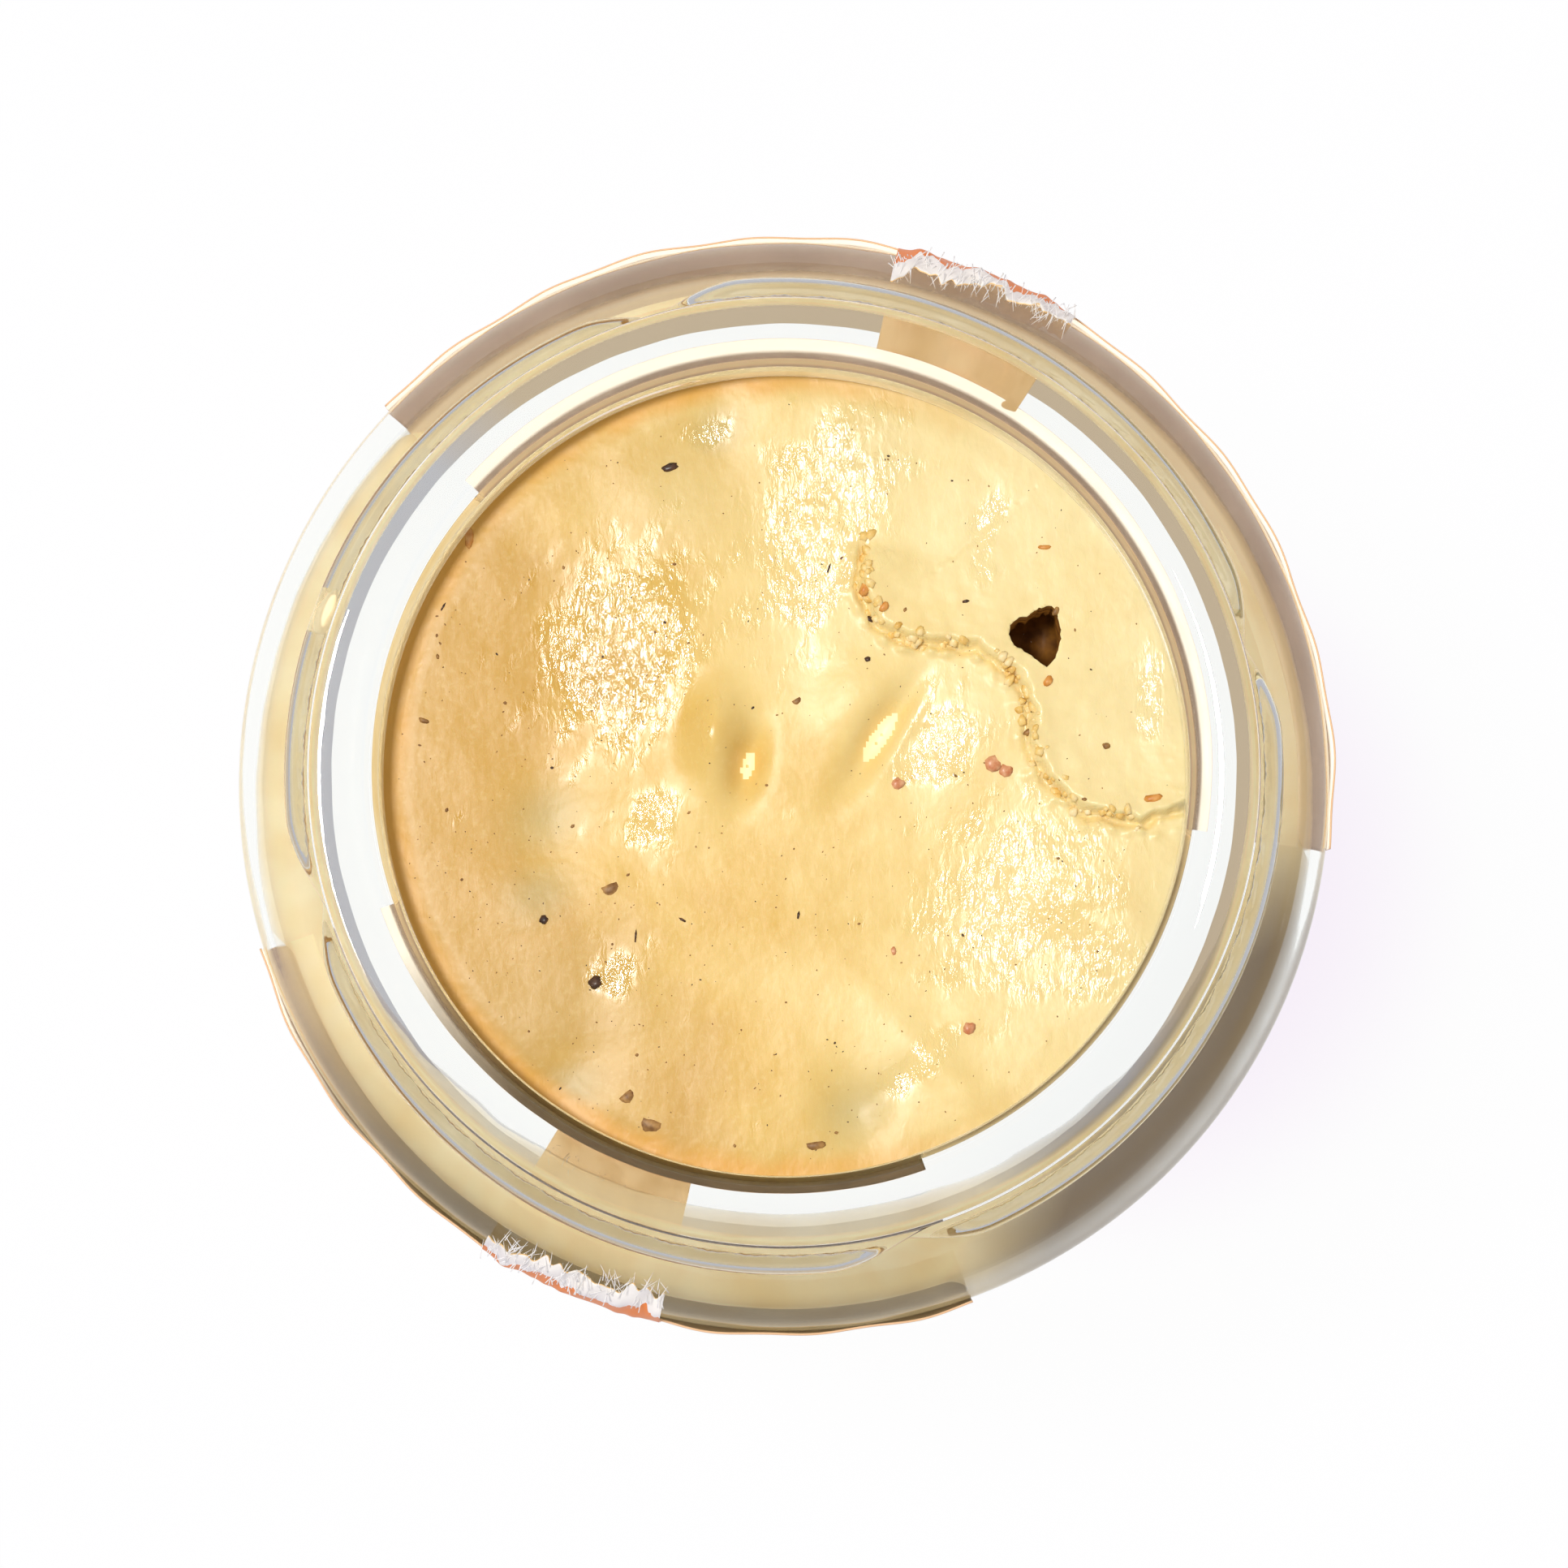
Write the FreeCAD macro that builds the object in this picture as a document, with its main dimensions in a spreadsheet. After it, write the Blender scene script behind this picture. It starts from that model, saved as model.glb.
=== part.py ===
import FreeCAD, Part
import math
import os

import Sketcher
from FreeCAD import Rotation, Vector

# An open glass jar of mustard with a four-start twist-off neck, two paper labels on its wall and
# the two torn ends of the paper seal that once ran over the lid.
# Millimetres. The origin is the middle of the foot, +Z points up, the mouth is at the top.

# ------------------------------------------------------------------ driving dimensions

SIZES = {
    # glass, outside
    "rim_height": 90.0,
    "body_radius": 34.5,
    "heel_round": 4.5,
    "ring_inner_radius": 24.0,
    "push_up": 2.0,
    "neck_radius": 29.4,
    "neck_height": 9.0,
    "shoulder_drop": 2.0,
    "shoulder_round": 5.0,
    "neck_round": 1.2,
    "lip_round_outside": 0.8,
    "lip_round_inside": 2.4,
    # glass, inside
    "body_wall": 2.4,
    "base_thickness": 4.5,
    "floor_round": 5.0,
    "neck_wall": 4.5,
    "bore_depth": 10.4,
    "inner_drop": 5.8,
    "inner_shoulder_round": 2.8,
    "bore_round": 3.4,
    # thread
    "thread_starts": 4,
    "thread_first_angle": 15.0,
    "thread_sweep": 98.0,
    "thread_taper_angle": 14.0,
    "thread_depth": 1.6,
    "thread_width": 2.3,
    "thread_rise": 2.7,
    "thread_middle_drop": 4.9,
    # mustard
    "contact_gap": 0.05,
    "fill_depth": 5.0,
    "plate_rise": 0.35,
    "plate_edge": 0.5,
    "wall_fall": 0.45,
    "wall_fall_width": 1.9,
    "hole_depth": 7.0,
    # labels
    "label_thickness": 0.12,
    "label_bottom": 11.0,
    "label_overrun": 0.71,
    "front_label_angle": 143.3,
    "front_label_start": -6.8,
    "back_label_angle": 92.5,
    "back_label_start": 197.5,
    # torn seal
    "seal_thickness": 0.12,
    "seal_width": 12.0,
    "seal_length": 26.0,
    "seal_reach": 0.8,
    "front_seal_angle": 68.0,
    "back_seal_angle": 247.0,
    "tear_inset": 0.9,
    "tear_depth": 0.35,
}

doc = FreeCAD.newDocument("mustard_jar")
sheet = doc.addObject("Spreadsheet::Sheet", "Sizes")
for row, (alias, size) in enumerate(SIZES.items(), start=1):
    sheet.set(f"A{row}", alias)
    sheet.set(f"B{row}", str(size))
    sheet.setAlias(f"B{row}", alias)
doc.recompute()


def value(formula):
    """The number that a formula of the sheet's aliases gives."""
    result = sheet.evalExpression(formula)
    return float(getattr(result, "Value", result))


def size(alias):
    """One cell of the sheet, as a number."""
    return value("Sizes." + alias)


# ------------------------------------------------------------------ shared formulas

CAVITY_RADIUS = "Sizes.body_radius - Sizes.body_wall"
BORE_RADIUS = "Sizes.neck_radius - Sizes.neck_wall"
NECK_ROOT = "Sizes.rim_height - Sizes.neck_height"
SHOULDER_CORNER = f"{NECK_ROOT} - Sizes.shoulder_drop"
BORE_CORNER = "Sizes.rim_height - Sizes.bore_depth"
CAVITY_CORNER = f"{BORE_CORNER} - Sizes.inner_drop"
SHOULDER_SLOPE = "atan2(Sizes.shoulder_drop; Sizes.body_radius - Sizes.neck_radius)"
SHOULDER_MITRE = f"tan(45 deg - {SHOULDER_SLOPE} / 2)"
SHOULDER_START = f"{SHOULDER_CORNER} - Sizes.shoulder_round * {SHOULDER_MITRE}"
LABEL_INSIDE = "Sizes.body_radius + Sizes.contact_gap"
SEAL_OFFSET = "2 * Sizes.contact_gap + Sizes.label_thickness"


# ------------------------------------------------------------------ helpers

def origin_plane(body, role):
    """One of a body's own origin planes."""
    for feature in body.Origin.OriginFeatures:
        if feature.Role == role:
            return feature
    raise ValueError(role)


def profile(body, name, corners):
    """A closed outline on the XZ plane, each corner held at (radius, height) formulas."""
    sketch = body.newObject("Sketcher::SketchObject", name)
    sketch.AttachmentSupport = [(origin_plane(body, "XZ_Plane"), "")]
    sketch.MapMode = "FlatFace"
    points = [Vector(value(radius), value(height), 0) for radius, height in corners]
    for index, point in enumerate(points):
        following = points[(index + 1) % len(points)]
        sketch.addGeometry(Part.LineSegment(point, following), False)
    for index in range(len(points)):
        following = (index + 1) % len(points)
        sketch.addConstraint(Sketcher.Constraint("Coincident", index, 2, following, 1))
    for index, (radius, height) in enumerate(corners):
        for kind, axis, formula, number in (
            ("DistanceX", -2, radius, points[index].x),
            ("DistanceY", -1, height, points[index].y),
        ):
            if formula == "0":
                sketch.addConstraint(Sketcher.Constraint("PointOnObject", index, 1, axis))
                continue
            held = sketch.addConstraint(Sketcher.Constraint(kind, -1, 1, index, 1, number))
            sketch.setExpression(f"Constraints[{held}]", formula)
    return sketch


def turned(body, kind, name, sketch, angle="360"):
    """A Revolution or Groove of a sketch about the jar's axis."""
    feature = body.newObject("PartDesign::" + kind, name)
    feature.Profile = sketch
    feature.ReferenceAxis = (sketch, ["V_Axis"])
    feature.setExpression("Angle", angle)
    doc.recompute()
    return feature


def rounded(body, name, base, radius, height, fillet, near=0.02):
    """A fillet on the circular edges of base that lie at one radius and height."""
    doc.recompute()
    edges = []
    for number, edge in enumerate(base.Shape.Edges, start=1):
        if not isinstance(edge.Curve, Part.Circle):
            continue
        radius_off = abs(edge.Curve.Radius - value(radius))
        height_off = abs(edge.Curve.Center.z - value(height))
        if radius_off < near and height_off < near:
            edges.append(f"Edge{number}")
    if not edges:
        raise ValueError(f"{name}: no edge at that radius and height")
    feature = body.newObject("PartDesign::Fillet", name)
    feature.Base = (base, edges)
    feature.setExpression("Radius", fillet)
    doc.recompute()
    return feature


def about_axis(angle):
    """A placement turned about the jar's axis."""
    return FreeCAD.Placement(Vector(0, 0, 0), Rotation(Vector(0, 0, 1), angle))


def smooth_step(distance, width):
    """0 to 1 over a width centred on distance 0."""
    share = min(max(distance / width + 0.5, 0.0), 1.0)
    return share * share * (3 - 2 * share)


# ------------------------------------------------------------------ glass jar

def make_glass_blank():
    """The jar without its thread: outside, cavity and the rounded corners."""
    body = doc.addObject("PartDesign::Body", "GlassBlank")
    outside = profile(body, "OutsideProfile", [
        ("0", "Sizes.push_up"),
        ("Sizes.ring_inner_radius", "0"),
        ("Sizes.body_radius", "0"),
        ("Sizes.body_radius", SHOULDER_CORNER),
        ("Sizes.neck_radius", NECK_ROOT),
        ("Sizes.neck_radius", "Sizes.rim_height"),
        ("0", "Sizes.rim_height"),
    ])
    solid = turned(body, "Revolution", "Outside", outside)
    full = solid.Shape.Volume
    inside = profile(body, "InsideProfile", [
        ("0", "Sizes.base_thickness"),
        (CAVITY_RADIUS, "Sizes.base_thickness"),
        (CAVITY_RADIUS, CAVITY_CORNER),
        (BORE_RADIUS, BORE_CORNER),
        (BORE_RADIUS, "Sizes.rim_height"),
        ("0", "Sizes.rim_height"),
    ])
    hollow = turned(body, "Groove", "Inside", inside)
    if hollow.Shape.Volume > 0.6 * full:
        raise ValueError("the cavity cut nothing")
    step = rounded(body, "Heel", hollow, "Sizes.body_radius", "0", "Sizes.heel_round")
    step = rounded(body, "Shoulder", step, "Sizes.body_radius", SHOULDER_CORNER,
                   "Sizes.shoulder_round")
    step = rounded(body, "NeckRoot", step, "Sizes.neck_radius", NECK_ROOT, "Sizes.neck_round")
    step = rounded(body, "LipOutside", step, "Sizes.neck_radius", "Sizes.rim_height",
                   "Sizes.lip_round_outside")
    step = rounded(body, "LipInside", step, BORE_RADIUS, "Sizes.rim_height",
                   "Sizes.lip_round_inside")
    step = rounded(body, "Floor", step, CAVITY_RADIUS, "Sizes.base_thickness",
                   "Sizes.floor_round")
    step = rounded(body, "InnerShoulder", step, CAVITY_RADIUS, CAVITY_CORNER,
                   "Sizes.inner_shoulder_round")
    rounded(body, "BoreRoot", step, BORE_RADIUS, BORE_CORNER, "Sizes.bore_round")
    return body


def thread_section(angle, centre_height, crest, width, root):
    """A half-round ridge section in the plane through the axis at an angle."""
    across = Vector(math.cos(angle), math.sin(angle), 0)
    low = across * root + Vector(0, 0, centre_height - width / 2)
    top = across * crest + Vector(0, 0, centre_height)
    high = across * root + Vector(0, 0, centre_height + width / 2)
    return Part.Wire([Part.Arc(low, top, high).toShape(), Part.LineSegment(high, low).toShape()])


def make_thread_ridge():
    """One start: a ridge that climbs the neck and sinks into it at both ends."""
    sections = 15
    buried = 0.5
    sunk = 0.2
    sweep = math.radians(size("thread_sweep"))
    taper = math.radians(size("thread_taper_angle"))
    first = math.radians(size("thread_first_angle")) - (sweep - math.tau / size("thread_starts")) / 2
    middle = size("rim_height") - size("thread_middle_drop")
    root = size("neck_radius") - buried
    wires = []
    for number in range(sections):
        share = number / (sections - 1)
        from_end = min(share, 1 - share) * sweep
        full = smooth_step(from_end / taper - 0.5, 1.0)
        crest = root + sunk + (buried - sunk + size("thread_depth")) * full
        width = size("thread_width") * (0.55 + 0.45 * full)
        height = middle + size("thread_rise") * (share - 0.5)
        wires.append(thread_section(first + sweep * share, height, crest, width, root))
    return Part.makeLoft(wires, True, False)


def make_jar():
    """The blank with its thread ridges fused on: one piece of glass."""
    blank = make_glass_blank()
    starts = int(size("thread_starts"))
    ridges = []
    for number in range(starts):
        ridge = doc.addObject("Part::Feature", f"ThreadRidge{number}")
        ridge.Shape = make_thread_ridge()
        ridge.Placement = about_axis(number * 360 / starts)
        ridges.append(ridge)
    jar = doc.addObject("Part::MultiFuse", "Jar")
    jar.Shapes = [blank] + ridges
    jar.Label = "jar"
    doc.recompute()
    return jar


# ------------------------------------------------------------------ mustard

# Soft mounds and dips left by a spoon: centre x, centre y, half width, half length, turn of the
# length from +X in degrees, height.
MOUNDS = {
    "spoon_ridge": (-4.9, 2.6, 1.5, 3.0, 80, 0.50),
    "ridge_hollow": (-2.5, 0.9, 1.5, 2.8, 65, -0.60),
    "fold_crown": (4.9, 4.6, 2.2, 3.0, 55, 0.30),
    "fold_valley": (6.0, 2.6, 1.0, 3.0, 55, -0.75),
    "wet_slope": (11.0, 2.3, 3.0, 3.4, 20, 0.35),
    "far_dip": (-4.2, 21.4, 3.0, 2.0, 0, -0.35),
    "left_dip": (-14.6, -3.0, 2.6, 3.4, 100, -0.40),
    "lower_left_dip": (-13.2, -18.8, 3.0, 2.2, 150, -0.35),
    "near_dip": (4.4, -20.6, 2.6, 2.0, 20, -0.60),
    "near_streak": (8.8, -17.4, 4.6, 1.2, 45, 0.25),
}

# Corners of the two raised skins at the right: left edge, front edge and the front edge's fall.
HOLE_CENTRE = (15.6, 8.7)
UPPER_PLATE = (5.0, 8.6, 0.10)
RIGHT_PLATE = (15.5, -0.2, 0.42)


def mound_height(x, y, mound):
    """A soft oval mound or dip at one point."""
    centre_x, centre_y, half_width, half_length, turn, height = mound
    turn = math.radians(turn)
    along = (x - centre_x) * math.cos(turn) + (y - centre_y) * math.sin(turn)
    across = (y - centre_y) * math.cos(turn) - (x - centre_x) * math.sin(turn)
    return height * math.exp(-(along / half_length) ** 2 - (across / half_width) ** 2)


def plate_share(x, y, plate, edge):
    """1 on a raised skin, 0 off it."""
    left, front, fall = plate
    return smooth_step(x - left, edge) * smooth_step(y - front + fall * (x - left), edge)


def surface_height(x, y):
    """Height of the mustard's top over its mean level."""
    height = sum(mound_height(x, y, mound) for mound in MOUNDS.values())
    edge = size("plate_edge") * 2
    upper = plate_share(x, y, UPPER_PLATE, edge)
    right = plate_share(x, y, RIGHT_PLATE, edge)
    height += size("plate_rise") * max(upper, right)
    radius = math.hypot(x, y)
    facing_left = 0.5 - 0.5 * x / max(radius, 1.0)
    from_wall = value(BORE_RADIUS) - radius
    width = size("wall_fall_width")
    height -= size("wall_fall") * facing_left * (1 - smooth_step(from_wall - width / 2, width))
    return height


def make_surface_cutter():
    """Everything above the mustard's spooned top, as a block with that relief under it."""
    spacing = 1.0
    reach = value(BORE_RADIUS) + 2
    count = int(2 * reach / spacing) + 2
    level = size("rim_height") - size("fill_depth")
    rows = []
    for column in range(count):
        x = -reach + 2 * reach * column / (count - 1)
        row = []
        for line in range(count):
            y = -reach + 2 * reach * line / (count - 1)
            row.append(Vector(x, y, level + surface_height(x, y)))
        rows.append(row)
    surface = Part.BSplineSurface()
    surface.interpolate(rows)
    return surface.toShape().extrude(Vector(0, 0, size("fill_depth") + 3))


def make_hole():
    """The heart-shaped hole in the skin, as a plug to cut away."""
    notch = Vector(-0.48, 1.18, 0)
    left_lobe = Vector(-1.50, 0.62, 0)
    left_low = Vector(-1.30, -0.62, 0)
    tip = Vector(0.78, -2.02, 0)
    right_side = Vector(1.60, -0.05, 0)
    right_top = Vector(1.15, 1.78, 0)
    top = Vector(0.22, 1.66, 0)
    outline = Part.Wire([
        Part.Arc(notch, left_lobe, left_low).toShape(),
        Part.LineSegment(left_low, tip).toShape(),
        Part.Arc(tip, right_side, right_top).toShape(),
        Part.Arc(right_top, top, notch).toShape(),
    ])
    bottom = size("rim_height") - size("fill_depth") - size("hole_depth")
    outline.translate(Vector(HOLE_CENTRE[0], HOLE_CENTRE[1], bottom))
    return Part.Face(outline).extrude(Vector(0, 0, size("hole_depth") + 3))


def make_mustard():
    """The fill: the cavity's own form up to the spooned top, with the hole in it."""
    body = doc.addObject("PartDesign::Body", "Fill")
    radius = f"{CAVITY_RADIUS} - Sizes.contact_gap"
    bore = f"{BORE_RADIUS} - Sizes.contact_gap"
    floor = "Sizes.base_thickness + Sizes.contact_gap"
    outline = profile(body, "FillProfile", [
        ("0", floor),
        (radius, floor),
        (radius, CAVITY_CORNER),
        (bore, BORE_CORNER),
        (bore, "Sizes.rim_height"),
        ("0", "Sizes.rim_height"),
    ])
    step = turned(body, "Revolution", "FillForm", outline)
    step = rounded(body, "FillFloor", step, radius, floor,
                   "Sizes.floor_round - Sizes.contact_gap")
    step = rounded(body, "FillShoulder", step, radius, CAVITY_CORNER,
                   "Sizes.inner_shoulder_round - Sizes.contact_gap")
    rounded(body, "FillNeck", step, bore, BORE_CORNER, "Sizes.bore_round + Sizes.contact_gap")
    cutter = doc.addObject("Part::Feature", "SpoonedTop")
    cutter.Shape = make_surface_cutter()
    hole = doc.addObject("Part::Feature", "SkinHole")
    hole.Shape = make_hole()
    level = doc.addObject("Part::Cut", "LevelFill")
    level.Base = body
    level.Tool = cutter
    mustard = doc.addObject("Part::Cut", "Mustard")
    mustard.Base = level
    mustard.Tool = hole
    mustard.Label = "mustard"
    doc.recompute()
    return mustard


# ------------------------------------------------------------------ paper

def make_label(name, start, angle):
    """A paper label wrapped round the straight wall from one angle on."""
    body = doc.addObject("PartDesign::Body", name)
    top = f"{SHOULDER_START} + Sizes.label_overrun"
    outside = f"{LABEL_INSIDE} + Sizes.label_thickness"
    outline = profile(body, name + "Section", [
        (LABEL_INSIDE, "Sizes.label_bottom"),
        (outside, "Sizes.label_bottom"),
        (outside, top),
        (LABEL_INSIDE, top),
    ])
    turned(body, "Revolution", name + "Wrap", outline, "Sizes." + angle)
    body.Placement = about_axis(size(start))
    body.Label = name
    return body


def make_tear(name, angle, half_angle):
    """What the tear took off a seal's end: everything inside a ragged arc."""
    steps = 24
    low = value(SHOULDER_CORNER) - size("shoulder_round")
    corners = [Vector(0, 0, low)]
    for number in range(steps + 1):
        share = number / steps
        turn = math.radians(angle) + half_angle * 1.2 * (2 * share - 1)
        ragged = math.sin(9.0 * share + angle) + 0.6 * math.sin(23.0 * share + 2.0)
        radius = size("body_radius") - size("tear_inset") + size("tear_depth") * ragged
        corners.append(Vector(radius * math.cos(turn), radius * math.sin(turn), low))
    outline = Part.makePolygon(corners + corners[:1])
    tear = doc.addObject("Part::Feature", name)
    tear.Shape = Part.Face(outline).extrude(Vector(0, 0, 3 * size("shoulder_round")))
    return tear


def make_seal(name, angle):
    """A strip of seal paper over the label and the shoulder, torn off below the neck."""
    body = doc.addObject("PartDesign::Body", name + "Strip")
    strip = []
    for offset in (SEAL_OFFSET, f"{SEAL_OFFSET} + Sizes.seal_thickness"):
        radius = f"Sizes.body_radius + {offset}"
        corner = f"{SHOULDER_CORNER} + ({offset}) * {SHOULDER_MITRE}"
        foot = f"{SHOULDER_CORNER} - Sizes.seal_length"
        run = f"((Sizes.shoulder_round + {offset}) * {SHOULDER_MITRE} + Sizes.seal_reach)"
        end_radius = f"{radius} - {run} * cos({SHOULDER_SLOPE})"
        end_height = f"{corner} + {run} * sin({SHOULDER_SLOPE})"
        strip.append([(radius, foot), (radius, corner), (end_radius, end_height)])
    inner, outer = strip
    outline = profile(body, name + "Section", inner + outer[::-1])
    half_angle = size("seal_width") / size("body_radius") / 2
    wrap = body.newObject("PartDesign::Revolution", name + "Wrap")
    wrap.Profile = outline
    wrap.ReferenceAxis = (outline, ["V_Axis"])
    wrap.setExpression("Angle", "Sizes.seal_width / Sizes.body_radius * 180 deg / pi")
    doc.recompute()
    for number, (edge_path, offset) in enumerate((
        (inner, SEAL_OFFSET),
        (outer, f"{SEAL_OFFSET} + Sizes.seal_thickness"),
    )):
        wrap = rounded(body, f"{name}Bend{number}", wrap, edge_path[1][0], edge_path[1][1],
                       f"Sizes.shoulder_round + {offset}")
    body.Placement = about_axis(size(angle) - math.degrees(half_angle))
    seal = doc.addObject("Part::Cut", name)
    seal.Base = body
    seal.Tool = make_tear(name + "Tear", size(angle), half_angle)
    seal.Label = name
    doc.recompute()
    return seal


# ------------------------------------------------------------------ build, check, write

pieces = [
    make_jar(),
    make_mustard(),
    make_label("label_front", "front_label_start", "front_label_angle"),
    make_label("label_back", "back_label_start", "back_label_angle"),
    make_seal("seal_front", "front_seal_angle"),
    make_seal("seal_back", "back_seal_angle"),
]
doc.recompute()

for item in doc.Objects:
    if "Invalid" in item.State or "Error" in item.State:
        raise RuntimeError(f"{item.Label} failed: {item.State}")
for piece in pieces:
    if piece.Shape.isNull() or not piece.Shape.isValid() or len(piece.Shape.Solids) != 1:
        raise RuntimeError(f"{piece.Label} isn't one valid solid")

os.makedirs("parts", exist_ok=True)
for piece in pieces:
    piece.Shape.exportStep(f"parts/{piece.Label}.step")
    box = piece.Shape.BoundBox
    print(f"{piece.Label}: {piece.Shape.Volume:.1f} mm3, z {box.ZMin:.2f} to {box.ZMax:.2f}, "
          f"x {box.XMin:.2f} to {box.XMax:.2f}, y {box.YMin:.2f} to {box.YMax:.2f}")
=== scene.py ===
import math
import random

import bmesh
import bpy
import numpy as np
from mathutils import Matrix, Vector


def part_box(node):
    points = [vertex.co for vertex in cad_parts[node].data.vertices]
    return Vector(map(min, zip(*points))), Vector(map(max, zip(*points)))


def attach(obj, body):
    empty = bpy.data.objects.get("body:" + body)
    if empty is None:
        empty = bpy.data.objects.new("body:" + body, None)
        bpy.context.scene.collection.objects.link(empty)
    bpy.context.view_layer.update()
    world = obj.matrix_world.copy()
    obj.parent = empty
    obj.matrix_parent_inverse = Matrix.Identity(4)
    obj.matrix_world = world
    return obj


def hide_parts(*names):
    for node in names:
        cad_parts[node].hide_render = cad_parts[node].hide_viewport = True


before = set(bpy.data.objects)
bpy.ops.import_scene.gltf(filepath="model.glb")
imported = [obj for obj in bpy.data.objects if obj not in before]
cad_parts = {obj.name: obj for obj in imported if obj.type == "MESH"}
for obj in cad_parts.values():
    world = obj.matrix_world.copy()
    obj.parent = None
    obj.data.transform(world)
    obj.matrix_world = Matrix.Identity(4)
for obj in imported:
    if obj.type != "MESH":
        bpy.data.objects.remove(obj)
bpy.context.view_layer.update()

# An open jar of mustard: thick clear glass, the spooned paste inside it, two paper labels round
# the wall and the torn ends of a paper seal on the shoulder. The jar's sizes are in millimetres,
# those of the stage in metres.

MM = 0.001

# ------------------------------------------------------------------ sizes of the jar

jar_low, jar_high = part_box("jar")
RIM = jar_high.z / MM
BODY = jar_high.x / MM
FOOT_RING = 24.0
PUSH_UP = 2.0
NECK = 29.4
NECK_ROOT = RIM - 9.0
SHOULDER = NECK_ROOT - 2.0
BORE = NECK - 4.5
BORE_CORNER = RIM - 10.4
CAVITY = BODY - 2.4
CAVITY_CORNER = BORE_CORNER - 5.8
FLOOR = 4.5
HEEL_ROUND = 4.5
SHOULDER_ROUND = 5.0
NECK_ROUND = 1.2
LIP_OUTSIDE = 0.8
LIP_INSIDE = 2.4
FLOOR_ROUND = 5.0
INNER_SHOULDER_ROUND = 2.8
BORE_ROUND = 3.4
SHOULDER_SLOPE = math.atan2(NECK_ROOT - SHOULDER, BODY - NECK)
INNER_SLOPE = math.atan2(BORE_CORNER - CAVITY_CORNER, CAVITY - BORE)
GLASS_SIDES = 320
SHOULDER_START = SHOULDER - SHOULDER_ROUND * math.tan(math.pi / 4 - SHOULDER_SLOPE / 2)

THREAD_STARTS = 4
THREAD_FIRST = 15.0
THREAD_SWEEP = 98.0
THREAD_TAPER = 14.0
THREAD_DEPTH = 1.6
THREAD_WIDTH = 2.3
THREAD_RISE = 2.7
THREAD_MIDDLE = RIM - 4.9

FILL_LEVEL = RIM - 5.0
INTO_WALL = 0.12
STAND_OFF = 0.35
WET_LINE = 52.0
TOP_CELLS = 274

LABEL_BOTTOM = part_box("label_front")[0].z / MM
LABEL_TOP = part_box("label_front")[1].z / MM
FRONT_LABEL = (-6.8, 136.5)
BACK_LABEL = (197.5, 290.0)
LABEL_PAPER = 0.12

SEAL_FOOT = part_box("seal_front")[0].z / MM
SEAL_WIDTH = 12.0
SEAL_TEAR = 26.4
SEAL_PAPER = 0.11
FRONT_SEAL = 68.0
BACK_SEAL = 247.0
FIBRES = 150

SMEAR_ANGLE = 160.5
SMEAR_HEIGHT = 85.2

# Degrees from +X towards -Y to the side where painted shade makes the paste under the shoulder browner.
SHADED_SIDE = 38


# ------------------------------------------------------------------ modelling helpers

def begin(primitive, name, **settings):
    """Adds one primitive on a clean selection and gives it its name."""
    bpy.ops.object.select_all(action="DESELECT")
    primitive(**settings)
    piece = bpy.context.object
    piece.name = name
    piece.data.name = name
    return piece


def edit(piece):
    """Edit mode on one piece, with nothing in it selected."""
    bpy.context.view_layer.objects.active = piece
    bpy.ops.object.mode_set(mode="EDIT")
    bpy.ops.mesh.select_mode(type="VERT")
    bpy.ops.mesh.select_all(action="DESELECT")


def pick(piece, wanted, kind="verts"):
    """Selects the vertices, edges or faces that a test picks, and only those."""
    modes = {"verts": "VERT", "edges": "EDGE", "faces": "FACE"}
    bpy.ops.mesh.select_mode(type=modes[kind])
    bpy.ops.mesh.select_all(action="DESELECT")
    mesh = bmesh.from_edit_mesh(piece.data)
    for element in getattr(mesh, kind):
        if wanted(element):
            element.select_set(True)
    mesh.select_flush_mode()
    bmesh.update_edit_mesh(piece.data)


def grow_ring(radius, height, last_radius, last_height):
    """Extrudes the selected ring to a new radius and height."""
    step = (0, 0, (height - last_height) * MM)
    bpy.ops.mesh.extrude_edges_move(TRANSFORM_OT_translate={"value": step})
    share = radius / last_radius
    bpy.ops.transform.resize(value=(share, share, 1), center_override=(0, 0, height * MM))


def close_ring(height_change):
    """Extrudes the selected ring once more and gathers it in one point on the axis."""
    step = (0, 0, height_change * MM)
    bpy.ops.mesh.extrude_edges_move(TRANSFORM_OT_translate={"value": step})
    bpy.ops.mesh.merge(type="CENTER")


def ring_edge(radius, height):
    """A test for the edges of one ring round the axis."""
    def on_ring(edge):
        return all(
            abs(math.hypot(v.co.x, v.co.y) / MM - radius) < 0.03 and abs(v.co.z / MM - height) < 0.01
            for v in edge.verts
        )
    return on_ring


def round_ring(piece, radius, height, rounding, turn, segments):
    """Bevels one ring to a round of the given radius, where the wall turns by an angle."""
    pick(piece, ring_edge(radius, height), "edges")
    offset = rounding * math.tan(turn / 2) * MM
    bpy.ops.mesh.bevel(offset=offset, offset_type="OFFSET", segments=segments, profile=0.5,
                       affect="EDGES", clamp_overlap=False)


def points(piece):
    """A piece's vertices as an array in millimetres."""
    co = np.empty(len(piece.data.vertices) * 3)
    piece.data.vertices.foreach_get("co", co)
    return co.reshape(-1, 3) / MM


def set_points(piece, co):
    """Moves a piece's vertices to places in millimetres."""
    piece.data.vertices.foreach_set("co", (np.asarray(co) * MM).ravel())
    piece.data.update()


def take(*pieces):
    """Selects these pieces and no others, the first of them active."""
    bpy.ops.object.select_all(action="DESELECT")
    for piece in pieces:
        piece.select_set(True)
    bpy.context.view_layer.objects.active = pieces[0]


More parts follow.
